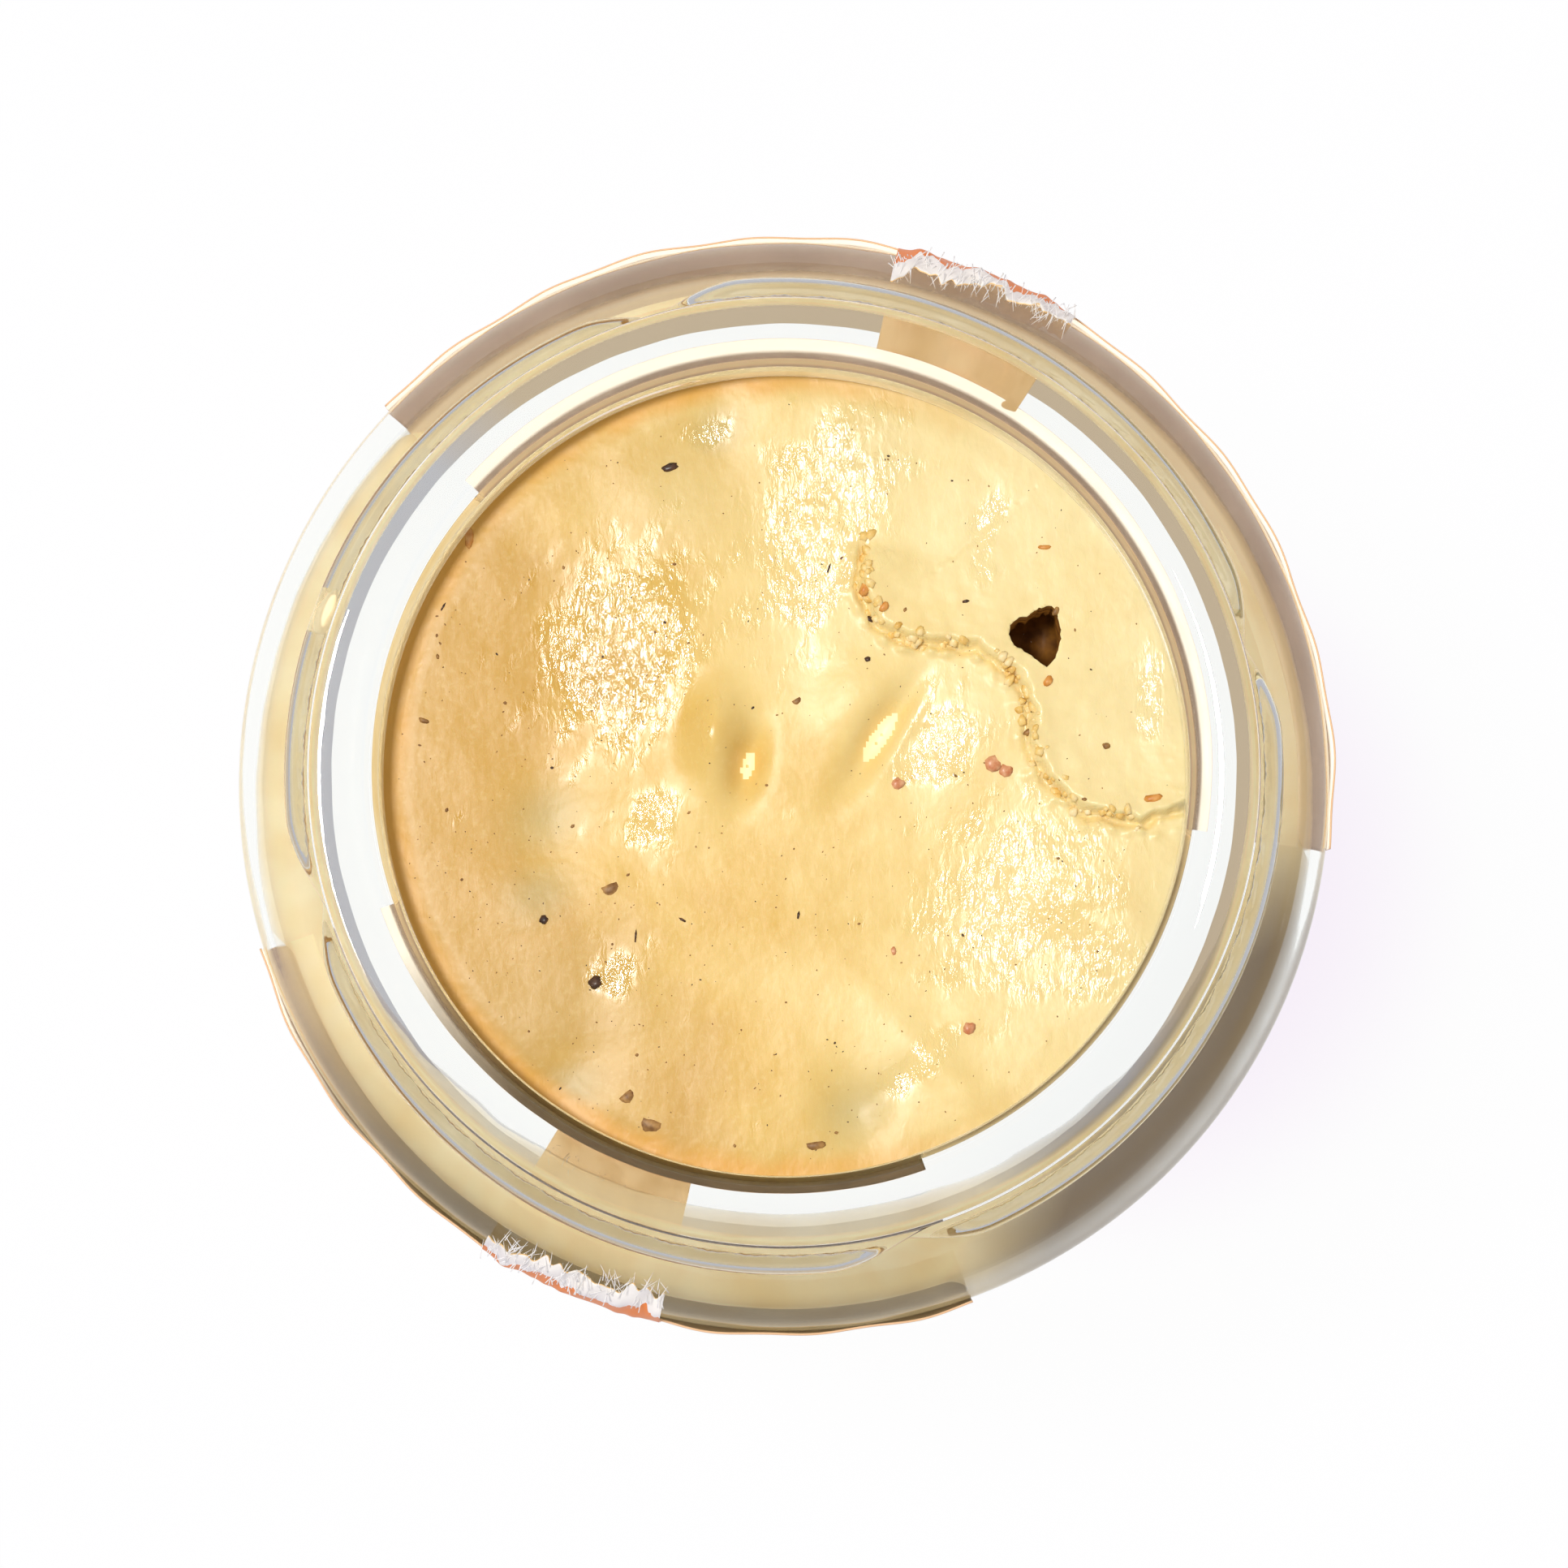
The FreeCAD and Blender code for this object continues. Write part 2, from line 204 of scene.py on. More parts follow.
def laid_copy(template, place, turn, scale):
    """A copy of a template with a mesh of its own, placed, turned and scaled."""
    copy = template.copy()
    copy.data = template.data.copy()
    bpy.context.scene.collection.objects.link(copy)
    copy.location = Vector(place) * MM
    copy.rotation_euler = turn
    copy.scale = scale
    return copy


def join_copies(template, copies, name):
    """Joins the copies into one piece and does away with their template."""
    bpy.data.objects.remove(template)
    take(*copies)
    bpy.ops.object.join()
    bpy.ops.object.transform_apply(location=True, rotation=True, scale=True)
    piece = bpy.context.object
    piece.name = name
    return piece


def face_outward():
    """Turns all normals outward and leaves edit mode."""
    bpy.ops.mesh.select_all(action="SELECT")
    bpy.ops.mesh.normals_make_consistent(inside=False)
    bpy.ops.object.mode_set(mode="OBJECT")


def apply(piece, kind, name, **settings):
    """Adds a modifier with its settings and applies it."""
    take(piece)
    modifier = piece.modifiers.new(name, kind)
    for setting, value in settings.items():
        setattr(modifier, setting, value)
    bpy.ops.object.modifier_apply(modifier=modifier.name)


def finish_piece(piece, material, slot, *nodes):
    """Smooth shading, material and body of a finished piece; the slot is not used."""
    take(piece)
    bpy.ops.object.shade_smooth()
    if material:
        piece.data.materials.append(material)
    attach(piece, "root")
    if nodes:
        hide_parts(*nodes)
    return piece


def smooth_step(value, low, high):
    """Nought below a span, one above it, and an even curve between."""
    share = np.clip((value - low) / (high - low), 0.0, 1.0)
    return share * share * (3 - 2 * share)


# ------------------------------------------------------------------ material helpers

def colour(code):
    """An sRGB hex colour as linear red, green, blue and alpha."""
    channels = [int(code[i:i + 2], 16) / 255 for i in (1, 3, 5)]
    linear = [c / 12.92 if c <= 0.04045 else ((c + 0.055) / 1.055) ** 2.4 for c in channels]
    return (*linear, 1.0)


def node(tree, kind, inputs=None, **settings):
    """Adds one shader node, with its settings, its socket values and its links."""
    new = tree.nodes.new("ShaderNode" + kind)
    for name, value in settings.items():
        setattr(new, name, value)
    for name, value in (inputs or {}).items():
        socket = new.inputs[name]
        if isinstance(value, bpy.types.NodeSocket):
            tree.links.new(value, socket)
        else:
            socket.default_value = value
    return new


def new_material(name):
    """An empty node material and its tree."""
    material = bpy.data.materials.new(name)
    material.use_nodes = True
    material.node_tree.nodes.clear()
    return material, material.node_tree


def ramp(tree, factor, *stops):
    """A colour ramp over (position, hex colour) stops."""
    band = node(tree, "ValToRGB", {"Fac": factor})
    elements = band.color_ramp.elements
    while len(elements) < len(stops):
        elements.new(0.5)
    for element, (position, code) in zip(elements, stops):
        element.position = position
        element.color = colour(code)
    return band.outputs["Color"]


def sums(tree, operation, *terms):
    """One maths node on its values or sockets."""
    return node(tree, "Math", dict(enumerate(terms)), operation=operation).outputs[0]


def share_between(tree, value, low, high, **more):
    """Nought to one as a value goes from one end of a span to the other."""
    return node(tree, "MapRange", {"Value": value, "From Min": low, "From Max": high}, **more).outputs[0]


def from_to(tree, share, start, end):
    """A number between two ends, by a share."""
    return node(tree, "MapRange", {"Value": share, "To Min": start, "To Max": end}).outputs[0]


def patches(tree, spacing, detail, *stops):
    """A tone that drifts between the stops in patches a spacing in millimetres apart."""
    place = node(tree, "TexCoord").outputs["Object"]
    patch = node(tree, "TexNoise", {"Vector": place, "Scale": 1 / (spacing * MM), "Detail": detail})
    return ramp(tree, patch.outputs["Fac"], *stops)


def surface(material, tree, **sockets):
    """Closes a material with one shader, whose sockets are named with underscores for spaces."""
    inputs = {name.replace("_", " "): value for name, value in sockets.items()}
    shader = node(tree, "BsdfPrincipled", inputs)
    node(tree, "OutputMaterial", {"Surface": shader.outputs["BSDF"]})
    return material


def made_once(make):
    """The material that bears the name of its function, made when first asked for."""
    return bpy.data.materials.get(make.__name__) or make()


def blend(tree, share, first, second):
    """Mixes two colours by a share."""
    mix = node(tree, "Mix", data_type="RGBA")
    for place, value in ((0, share), (6, first), (7, second)):
        if isinstance(value, bpy.types.NodeSocket):
            tree.links.new(value, mix.inputs[place])
        else:
            mix.inputs[place].default_value = colour(value) if isinstance(value, str) else value
    return mix.outputs[2]


def share_of(tree, name):
    """A number that each point of the mesh carries by name."""
    return node(tree, "Attribute", attribute_name=name).outputs["Fac"]


# ------------------------------------------------------------------ materials

def flint_glass():
    """Soda-lime flint glass, pressed and blown in a mould: clear, faintly uneven, hard gloss."""
    material, tree = new_material("flint_glass")
    place = node(tree, "TexCoord").outputs["Object"]
    # Mould waviness: soft rolls about 9 mm apart and finer ones about 2 mm apart.
    wave = node(tree, "TexNoise", {"Vector": place, "Scale": 1 / (9 * MM), "Detail": 2.0})
    bump = node(tree, "Bump", {"Height": wave.outputs["Fac"], "Strength": 0.05, "Distance": 0.6 * MM})
    return surface(material, tree, Base_Color=colour("#fcfefc"), Roughness=0.0, IOR=1.52,
                   Transmission_Weight=1.0, Normal=bump.outputs["Normal"])


def mustard_by_glass():
    """The paste's sides, with a painted glow that stands in for the light the thick glass carries down to
    them.
    """
    material, tree = new_material("mustard_by_glass")
    tone = patches(tree, 5, 3.0, (0.3, "#efd398"), (0.7, "#fae8bc"))
    # Painted shade: under the shoulder on the jar's shaded side it is painted browner, and its painted glow
    # is weaker there.
    axes = node(tree, "SeparateXYZ", {"Vector": node(tree, "TexCoord").outputs["Object"]})
    turn = math.radians(SHADED_SIDE)
    lee = sums(tree, "SUBTRACT", sums(tree, "MULTIPLY", axes.outputs["X"], math.cos(turn)),
               sums(tree, "MULTIPLY", axes.outputs["Y"], math.sin(turn)))
    lee = share_between(tree, lee, 26.0 * MM, 29.5 * MM)
    high = share_between(tree, axes.outputs["Z"], 60 * MM, 67 * MM)
    shaded = sums(tree, "MULTIPLY", lee, high)
    tone = blend(tree, shaded, tone, "#a08660")
    painted_side_glow = from_to(tree, shaded, 0.36, 0.10)
    return surface(material, tree, Base_Color=tone, Roughness=0.45, IOR=1.42,
                   Emission_Color=tone, Emission_Strength=painted_side_glow)


def mustard_paste():
    """Smooth ground mustard: a wet yellow paste with a broken wet gloss, and painted shade: golden by the
    glass on the left, deeper over the near left.
    """
    material, tree = new_material("mustard_paste")
    place = node(tree, "TexCoord").outputs["Object"]
    axes = node(tree, "SeparateXYZ", {"Vector": place})
    # Painted light and shade: paler to the right, deeper to the near left, over the jar's own width.
    lean = sums(tree, "ADD", axes.outputs["X"], sums(tree, "MULTIPLY", axes.outputs["Y"], 0.35))
    slow = node(tree, "TexNoise", {"Vector": place, "Scale": 1 / (11 * MM), "Detail": 3.0})
    across = sums(tree, "MULTIPLY_ADD", lean, 1 / (52 * MM), 0.08)
    across = sums(tree, "ADD", across, sums(tree, "MULTIPLY", slow.outputs["Fac"], 0.85))
    tone = ramp(tree, across, (0.16, "#cfa146"), (0.36, "#e2ba5c"), (0.56, "#f4d98e"), (0.95, "#fae9ac"))
    # Ground husk and fine bran: mottling about 1.6 mm across and grain a third of a millimetre.
    mottle = node(tree, "TexNoise", {"Vector": place, "Scale": 1 / (1.6 * MM), "Detail": 4.0})
    tone = blend(tree, sums(tree, "MULTIPLY", mottle.outputs["Fac"], 0.34), tone, "#d8a94e")
    grain = node(tree, "TexNoise", {"Vector": place, "Scale": 1 / (0.35 * MM), "Detail": 2.0})
    pale = ramp(tree, grain.outputs["Fac"], (0.55, "#000000"), (0.72, "#ffffff"))
    tone = blend(tree, sums(tree, "MULTIPLY", pale, 0.14), tone, "#f6e0a2")
    # Painted shade: greyer in the dips and in some broad zones of the top.
    tone = blend(tree, sums(tree, "MULTIPLY", share_of(tree, "painted_grey_shade"), 0.55), tone, "#bfae77")
    # Painted shade: golden by the glass on the left, where the wall shades the paste.
    tone = blend(tree, sums(tree, "MULTIPLY", share_of(tree, "rim_painted_shade"), 0.85), tone, "#e8a738")
    # Wet wrinkles drawn out along the spoon's stroke, 0.4 mm apart, strongest on the wet slopes.
    stretch = node(tree, "Mapping", {"Vector": place, "Scale": (1.0, 0.42, 1.0), "Rotation": (0, 0, 0.25)})
    wrinkle = node(tree, "TexNoise", {"Vector": stretch.outputs[0], "Scale": 1 / (0.42 * MM), "Detail": 3.0,
                                      "Roughness": 0.6, "Distortion": 0.6})
    wide = node(tree, "TexNoise", {"Vector": place, "Scale": 1 / (1.5 * MM), "Detail": 2.0})
    strength = sums(tree, "MULTIPLY_ADD", share_of(tree, "wet"), 0.85, 0.12)
    soft = node(tree, "Bump", {"Height": wide.outputs["Fac"], "Strength": 0.20, "Distance": 0.30 * MM})
    fine = node(tree, "Bump", {"Height": wrinkle.outputs["Fac"], "Strength": strength, "Distance": 0.11 * MM,
                               "Normal": soft.outputs["Normal"]})
    gloss = sums(tree, "MULTIPLY_ADD", share_of(tree, "wet"), -0.31, 0.40)
    return surface(material, tree, Base_Color=tone, Roughness=gloss, IOR=1.5, Subsurface_Weight=0.12,
                   Subsurface_Radius=(1.2 * MM, 0.7 * MM, 0.25 * MM), Subsurface_Scale=1.0,
                   Normal=fine.outputs["Normal"])


def mustard_crumb():
    """Crumbs of drier paste: paler than the rest, with a dull sheen."""
    material, tree = new_material("mustard_crumb")
    tone = patches(tree, 1.1, 3.0, (0.30, "#d9a64c"), (0.48, "#f0cc7a"), (0.70, "#fbe9b8"))
    return surface(material, tree, Base_Color=tone, Roughness=0.32, IOR=1.42)


def hole_wall():
    """The inside of the deep hole: the same paste, dark and brown for want of light."""
    material, tree = new_material("hole_wall")
    tone = patches(tree, 1.0, 2.0, (0.35, "#5a3408"), (0.7, "#8a5a18"))
    return surface(material, tree, Base_Color=tone, Roughness=0.6, IOR=1.42)


def bran_flake(name, deep, light, roughness):
    """Seed coat and bran: hard little husks, darker in the folds, with a dull gloss."""
    material, tree = new_material(name)
    tone = patches(tree, 0.4, 3.0, (0.35, deep), (0.7, light))
    return surface(material, tree, Base_Color=tone, Roughness=roughness, IOR=1.5)


def paper(material, tree, tone, glow=0.0):
    """Coated paper: print colour, fine fibre relief and a dull sheen, with a painted glow where one is
    given.
    """
    place = node(tree, "TexCoord").outputs["Object"]
    fibre = node(tree, "TexNoise", {"Vector": place, "Scale": 1 / (0.5 * MM), "Detail": 3.0})
    bump = node(tree, "Bump", {"Height": fibre.outputs["Fac"], "Strength": 0.3, "Distance": 0.03 * MM})
    return surface(material, tree, Base_Color=tone, Roughness=0.45, IOR=1.5, Emission_Color=tone,
                   Emission_Strength=glow, Normal=bump.outputs["Normal"])


def label_print():
    """The label's printed side: a cream field between ochre bands, with plain round shapes."""
    material, tree = new_material("label_print")
    uv = node(tree, "UVMap", uv_map="UVMap").outputs["UV"]
    axes = node(tree, "SeparateXYZ", {"Vector": uv})
    bands = ramp(tree, axes.outputs["Y"], (0.0, "#8c5a24"), (0.05, "#e2a53c"), (0.09, "#8c5a24"),
                 (0.105, "#f0dfbe"), (0.86, "#8c5a24"), (0.875, "#e08a3a"), (0.95, "#a8743a"),
                 (0.965, "#f3c79a"))
    bands.node.color_ramp.interpolation = "CONSTANT"
    # Round seeds strewn over the field, about four millimetres apart.
    seeds = node(tree, "TexVoronoi", {"Vector": uv, "Scale": 16.0, "Randomness": 0.8})
    seed = ramp(tree, seeds.outputs["Distance"], (0.0, "#ffffff"), (0.24, "#000000"))
    seed.node.color_ramp.interpolation = "CONSTANT"
    field = sums(tree, "MULTIPLY", sums(tree, "GREATER_THAN", axes.outputs["Y"], 0.12),
                 sums(tree, "LESS_THAN", axes.outputs["Y"], 0.84))
    tone = blend(tree, sums(tree, "MULTIPLY", seed, field), bands, "#e0aa48")
    # A plain oval medal in the middle of the sheet.
    away_x = sums(tree, "MULTIPLY", sums(tree, "SUBTRACT", axes.outputs["X"], 0.5), 3.2)
    away_y = sums(tree, "MULTIPLY", sums(tree, "SUBTRACT", axes.outputs["Y"], 0.5), 3.4)
    away = sums(tree, "SQRT", sums(tree, "ADD", sums(tree, "MULTIPLY", away_x, away_x),
                                   sums(tree, "MULTIPLY", away_y, away_y)))
    medal = ramp(tree, away, (0.0, "#f6ead0"), (0.55, "#c8822e"), (0.62, "#f6ead0"), (0.70, "#8c5a24"),
                 (0.86, "#ffffff"))
    medal.node.color_ramp.interpolation = "CONSTANT"
    tone = blend(tree, sums(tree, "LESS_THAN", away, 0.86), tone, medal)
    return paper(material, tree, tone)


def label_back():
    """The glued side of the label, seen through the glass: greyish tan, unprinted, with painted light and
    shade and a painted glow for daylight through the paper.
    """
    material, tree = new_material("label_back")
    tone = patches(tree, 6, 3.0, (0.3, "#b9a293"), (0.7, "#cdb7a9"))
    axes = node(tree, "SeparateXYZ", {"Vector": node(tree, "TexCoord").outputs["Object"]})
    height = axes.outputs["Z"]
    # Painted light: lower down the glued side is painted a paler cream.
    lower = share_between(tree, height, 72.5 * MM, 70.5 * MM)
    tone = blend(tree, lower, tone, "#eedcc0")
    # Painted light: the strip along the upper edge is painted paler and glows more, standing in for daylight
    # through the paper.
    strip = share_between(tree, height, 74.5 * MM, 75.0 * MM)
    tone = blend(tree, strip, tone, "#f8efe2")
    # Painted shade: on the narrower label's near side it is painted deep brown, and its painted glow is
    # weaker.
    near_side_painted_shade = share_between(tree, axes.outputs["Y"], -14 * MM, -27 * MM)
    tone = blend(tree, near_side_painted_shade, tone, "#7d6342")
    through = sums(tree, "MULTIPLY", from_to(tree, strip, 0.24, 0.85),
                   sums(tree, "SUBTRACT", 1.0, sums(tree, "MULTIPLY", near_side_painted_shade, 0.80)))
    return paper(material, tree, tone, through)


def torn_fibre():
    """Bare paper pulp: matt white with a trace of cream."""
    material, tree = new_material("torn_fibre")
    tone = patches(tree, 1, 2.0, (0.3, "#f7f3ec"), (0.7, "#ffffff"))
    return surface(material, tree, Base_Color=tone, Roughness=0.8)


def seal_back():
    """The glued side of the seal, seen through the glass: warm tan kraft, with a painted glow that stands in
    for light through the paper.
    """
    material, tree = new_material("seal_back")
    tone = patches(tree, 3, 3.0, (0.3, "#bd9a66"), (0.7, "#d6b88c"))
    return paper(material, tree, tone, 0.75)


def seal_print():
    """The paper seal: orange print, and white torn fibre where the sheet has come apart."""
    material, tree = new_material("seal_print")
    uv = node(tree, "UVMap", uv_map="UVMap").outputs["UV"]
    axes = node(tree, "SeparateXYZ", {"Vector": uv})
    ragged = node(tree, "TexNoise", {"Vector": uv, "Scale": 14.0, "Detail": 4.0})
    line = sums(tree, "ADD", axes.outputs["Y"], sums(tree, "MULTIPLY", ragged.outputs["Fac"], 0.10))
    tone = ramp(tree, line, (0.0, "#e88a3c"), (0.30, "#f4b878"), (0.36, "#ee8432"), (0.985, "#f8f4ee"))
    tone.node.color_ramp.interpolation = "CONSTANT"
    return paper(material, tree, tone)


# ------------------------------------------------------------------ glass

def thread_height(angle, height):
    """How far the thread stands out from the neck at angles and heights."""
    sweep = math.radians(THREAD_SWEEP)
    pitch = math.tau / THREAD_STARTS
    first = math.radians(THREAD_FIRST) - (sweep - pitch) / 2
    result = np.zeros_like(angle)
    for start in range(THREAD_STARTS):
        along = np.mod(angle - first - start * pitch, math.tau)
        inside = along < sweep
        share = along / sweep
        from_end = np.minimum(share, 1 - share) * sweep
        full = smooth_step(from_end, 0.0, math.radians(THREAD_TAPER))
        middle = THREAD_MIDDLE + THREAD_RISE * (share - 0.5)
        half = THREAD_WIDTH * (0.6 + 0.4 * full) / 2
        across = np.clip(1 - ((height - middle) / half) ** 2, 0, 1)
        ridge = THREAD_DEPTH * full * across ** 0.8
        result = np.where(inside, np.maximum(result, ridge), result)
    return result


def make_glass():
    """The jar: one ring of edges grown up the outside, over the lip and down the inside."""
    piece = begin(bpy.ops.mesh.primitive_circle_add, "glass_jar", vertices=GLASS_SIDES,
                  radius=FOOT_RING * MM, fill_type="NOTHING")
    edit(piece)
    bpy.ops.mesh.select_all(action="SELECT")
    rings = [(BODY, 0), (BODY, SHOULDER), (NECK, NECK_ROOT), (NECK, RIM), (BORE, RIM),
             (BORE, BORE_CORNER), (CAVITY, CAVITY_CORNER), (CAVITY, FLOOR)]
    last = (FOOT_RING, 0)
    for ring in rings:
        grow_ring(*ring, *last)
        last = ring
    close_ring(0)
    pick(piece, ring_edge(FOOT_RING, 0), "edges")
    close_ring(PUSH_UP)
    quarter = math.pi / 2
    shoulder_turn = quarter - SHOULDER_SLOPE
    inner_turn = quarter - INNER_SLOPE
    round_ring(piece, BODY, 0, HEEL_ROUND, quarter, 10)
    round_ring(piece, BODY, SHOULDER, SHOULDER_ROUND, shoulder_turn, 14)
    round_ring(piece, NECK, NECK_ROOT, NECK_ROUND, shoulder_turn, 8)
    round_ring(piece, NECK, RIM, LIP_OUTSIDE, quarter, 10)
    round_ring(piece, BORE, RIM, LIP_INSIDE, quarter, 10)
    round_ring(piece, CAVITY, FLOOR, FLOOR_ROUND, quarter, 10)
    round_ring(piece, CAVITY, CAVITY_CORNER, INNER_SHOULDER_ROUND, inner_turn, 10)
    round_ring(piece, BORE, BORE_CORNER, BORE_ROUND, inner_turn, 10)

    def neck_wall(edge):
        ends = [(math.hypot(v.co.x, v.co.y) / MM, v.co.z / MM) for v in edge.verts]
        upright = abs(ends[0][1] - ends[1][1]) > 3
        return upright and all(abs(r - NECK) < 0.05 for r, _ in ends)

    pick(piece, neck_wall, "edges")
    bpy.ops.mesh.subdivide_edgering(number_cuts=54, interpolation="LINEAR")
    face_outward()
    co = points(piece)
    radius = np.hypot(co[:, 0], co[:, 1])
    angle = np.arctan2(co[:, 1], co[:, 0])
    outer_neck = (np.abs(radius - NECK) < 0.2) & (co[:, 2] > NECK_ROOT - 0.5)
    stand = np.where(outer_neck, thread_height(angle, co[:, 2]), 0.0)
    co[:, :2] *= (1 + stand / np.maximum(radius, 1.0))[:, None]
    set_points(piece, co)
    return finish_piece(piece, flint_glass(), "clear_glass", "jar")


# ------------------------------------------------------------------ mustard

# Soft forms of the top: middle, half width, half length, turn and height.
MOUNDS = {
    "spoon_ridge": (-4.3, 2.6, 1.5, 2.8, 84, 1.5),
    "ridge_hollow": (-2.3, 0.7, 0.9, 2.0, 76, -1.5),
    "fold_crown": (4.4, 4.8, 2.0, 3.0, 55, 0.45),
    "fold_valley": (5.9, 2.4, 0.9, 3.2, 56, -1.45),
    "far_dip": (-4.2, 21.4, 3.0, 2.0, 0, -0.35),
    "left_dip": (-14.6, -3.0, 2.6, 3.4, 100, -0.40),
    "lower_left_dip": (-13.2, -18.8, 3.0, 2.2, 150, -0.35),
    "near_dip": (4.4, -20.6, 2.6, 2.0, 20, -0.60),
    "near_streak": (8.8, -17.4, 4.6, 1.2, 45, 0.25),
}

# Slopes that face the left and shine wet: middle, half width, half length, turn and steepness.
WET_SLOPES = {
    "far": (2.4, 15.6, 4.4, 8.0, 66, 0.125),
    "left": (-9.8, 8.0, 5.6, 7.0, 60, 0.135),
    "left_foot": (-8.2, -2.8, 2.4, 2.6, 60, 0.10),
    "fold": (9.7, 2.2, 3.0, 3.4, 50, 0.19),
    "right": (14.8, -7.6, 6.0, 7.4, 40, 0.115),
    "near_right": (19.5, -11.5, 4.0, 3.2, 60, 0.10),
    "near": (8.6, -17.8, 1.1, 3.4, 45, 0.15),
    "far_left": (-4.6, 21.4, 1.0, 2.2, 10, 0.10),
    "upper_right": (12.6, 15.0, 1.2, 3.4, 80, 0.10),
    "right_wall": (22.8, 5.2, 1.0, 2.8, 90, 0.12),
    "lower_left": (-10.4, -12.2, 2.0, 2.6, 60, 0.08),
    "ridge_crest": (-4.8, 2.7, 0.5, 2.4, 86, 0.10),
}

# Painted shade: dips painted greyer (middle, size) and broad zones painted deeper (middle, size, share).
SHADED_DIPS = [(-4.2, 21.4, 2.0), (-14.6, -2.6, 2.6), (-15.2, -7.4, 2.2), (-13.2, -19.4, 2.2),
              (4.6, -20.8, 2.6)]
SHADED_ZONES = [(-7.0, 18.0, 6.5, 0.42), (4.0, 20.5, 4.0, 0.30), (-13.5, -15.0, 6.5, 0.38)]

# The torn edge of the skin on the right side, from its far end to the wall.
SKIN_EDGE = [(5.4, 15.2), (4.7, 12.0), (5.7, 9.6), (7.5, 8.5), (12.0, 8.0), (14.6, 6.2), (15.5, 3.9),
             (15.2, 2.2), (16.3, -0.2), (18.6, -2.2), (22.2, -2.9), (26.0, -1.6)]
SKIN_RISE = 0.95

HOLE = (15.6, 8.7)
HOLE_DEPTH = 7.0

SPECKS = 560


def spot_share(x, y, centre_x, centre_y, half_width, half_length, turn):
    """One in the middle of a turned oval, falling off to nothing outside it."""
    turn = math.radians(turn)
    along = (x - centre_x) * math.cos(turn) + (y - centre_y) * math.sin(turn)
    across = (y - centre_y) * math.cos(turn) - (x - centre_x) * math.sin(turn)
    return np.exp(-(along / half_length) ** 2 - (across / half_width) ** 2)


def ripple(x, y, spacing, seed):
    """A smooth random field between -1 and 1, with bumps about one spacing apart."""
    rng = random.Random(seed)
    total = np.zeros_like(x)
    for _ in range(9):
        turn = rng.uniform(0, math.tau)
        wave = math.tau / spacing * rng.uniform(0.5, 1.1)
        total = total + np.sin(wave * (x * math.cos(turn) + y * math.sin(turn)) + rng.uniform(0, math.tau))
    return total / 5


def skin_distance(x, y):
    """Distance to the skin's torn edge, positive on the skin, and how far along the edge that is."""
    jag_x = x + 0.16 * ripple(x, y, 1.3, 5) + 0.08 * ripple(x, y, 0.5, 6)
    jag_y = y + 0.16 * ripple(x, y, 1.3, 7) + 0.08 * ripple(x, y, 0.5, 8)
    nearest = np.full_like(x, 1e6)
    side = np.ones_like(x)
    place = np.zeros_like(x)
    before = 0.0
    for (ax, ay), (bx, by) in zip(SKIN_EDGE, SKIN_EDGE[1:]):
        length = math.hypot(bx - ax, by - ay)
        share = np.clip(((jag_x - ax) * (bx - ax) + (jag_y - ay) * (by - ay)) / length ** 2, 0, 1)
        away_x = jag_x - ax - share * (bx - ax)
        away_y = jag_y - ay - share * (by - ay)
        away = np.hypot(away_x, away_y)
        closer = away < nearest - 1e-6
        turned = (bx - ax) * away_y - (by - ay) * away_x
        nearest = np.where(closer, away, nearest)
        side = np.where(closer, np.sign(turned), side)
        place = np.where(closer, before + share * length, place)
        before += length
    return nearest * side, place


def skin_height(x, y):
    """The skin's raised edge with the crack along it, easing off behind."""
    away, place = skin_distance(x, y)
    ends = smooth_step(place, 0.2, 2.5)
    raised = smooth_step(away, -0.10, 0.45) * np.exp(-np.clip(away, 0, None) / 3.0)
    crack = np.exp(-((away + 0.24) / 0.20) ** 2)
    crumbs = np.clip(ripple(x, y, 0.9, 21), 0, 1) * np.exp(-((away + 0.6) / 0.5) ** 2)
    return ends * (SKIN_RISE * raised - 0.42 * crack + 0.45 * crumbs)


def wet_share(x, y):
    """How wet and wrinkled the top is, from none to one."""
    wet = np.zeros_like(x)
    for *oval, steep in WET_SLOPES.values():
        wet = np.maximum(wet, spot_share(x, y, *oval) * min(1.0, steep / 0.12))
    patchy = 0.22 * ripple(x, y, 2.6, 51) + 0.14 * ripple(x, y, 1.0, 52)
    away, place = skin_distance(x, y)
    along_edge = 0.8 * np.exp(-((away - 0.1) / 0.4) ** 2) * smooth_step(place, 0.2, 2.0)
    return np.maximum(smooth_step(wet + patchy, 0.18, 0.72), along_edge)


def surface_height(x, y):
    """The spooned top over its mean level."""
    height = np.zeros_like(x)
    for *oval, rise in MOUNDS.values():
        height = height + rise * spot_share(x, y, *oval)
    for *oval, steep in WET_SLOPES.values():
        height = height + steep * (x - oval[0]) * spot_share(x, y, *oval)
    # A narrow ridge along the fold.
    height = height + 0.30 * spot_share(x, y, 7.4, 2.8, 0.5, 2.6, 60)
    height = height + skin_height(x, y)
    wrinkled = 0.25 + 0.75 * wet_share(x, y)
    height = height + 0.05 * ripple(x, y, 5.0, 1) + 0.014 * wrinkled * ripple(x, y, 1.7, 2)
    height = height + 0.012 * wrinkled * ripple(x, y * 0.55, 0.8, 3)
    radius = np.hypot(x, y)
    facing_left = 0.5 - 0.5 * x / np.maximum(radius, 1.0)
    height -= 0.22 * facing_left * (1 - smooth_step(BORE - radius, 0.0, 1.9))
    return height


def top_at(x, y):
    """Height of the mustard's top at one place."""
    return FILL_LEVEL + float(surface_height(np.array([float(x)]), np.array([float(y)]))[0])


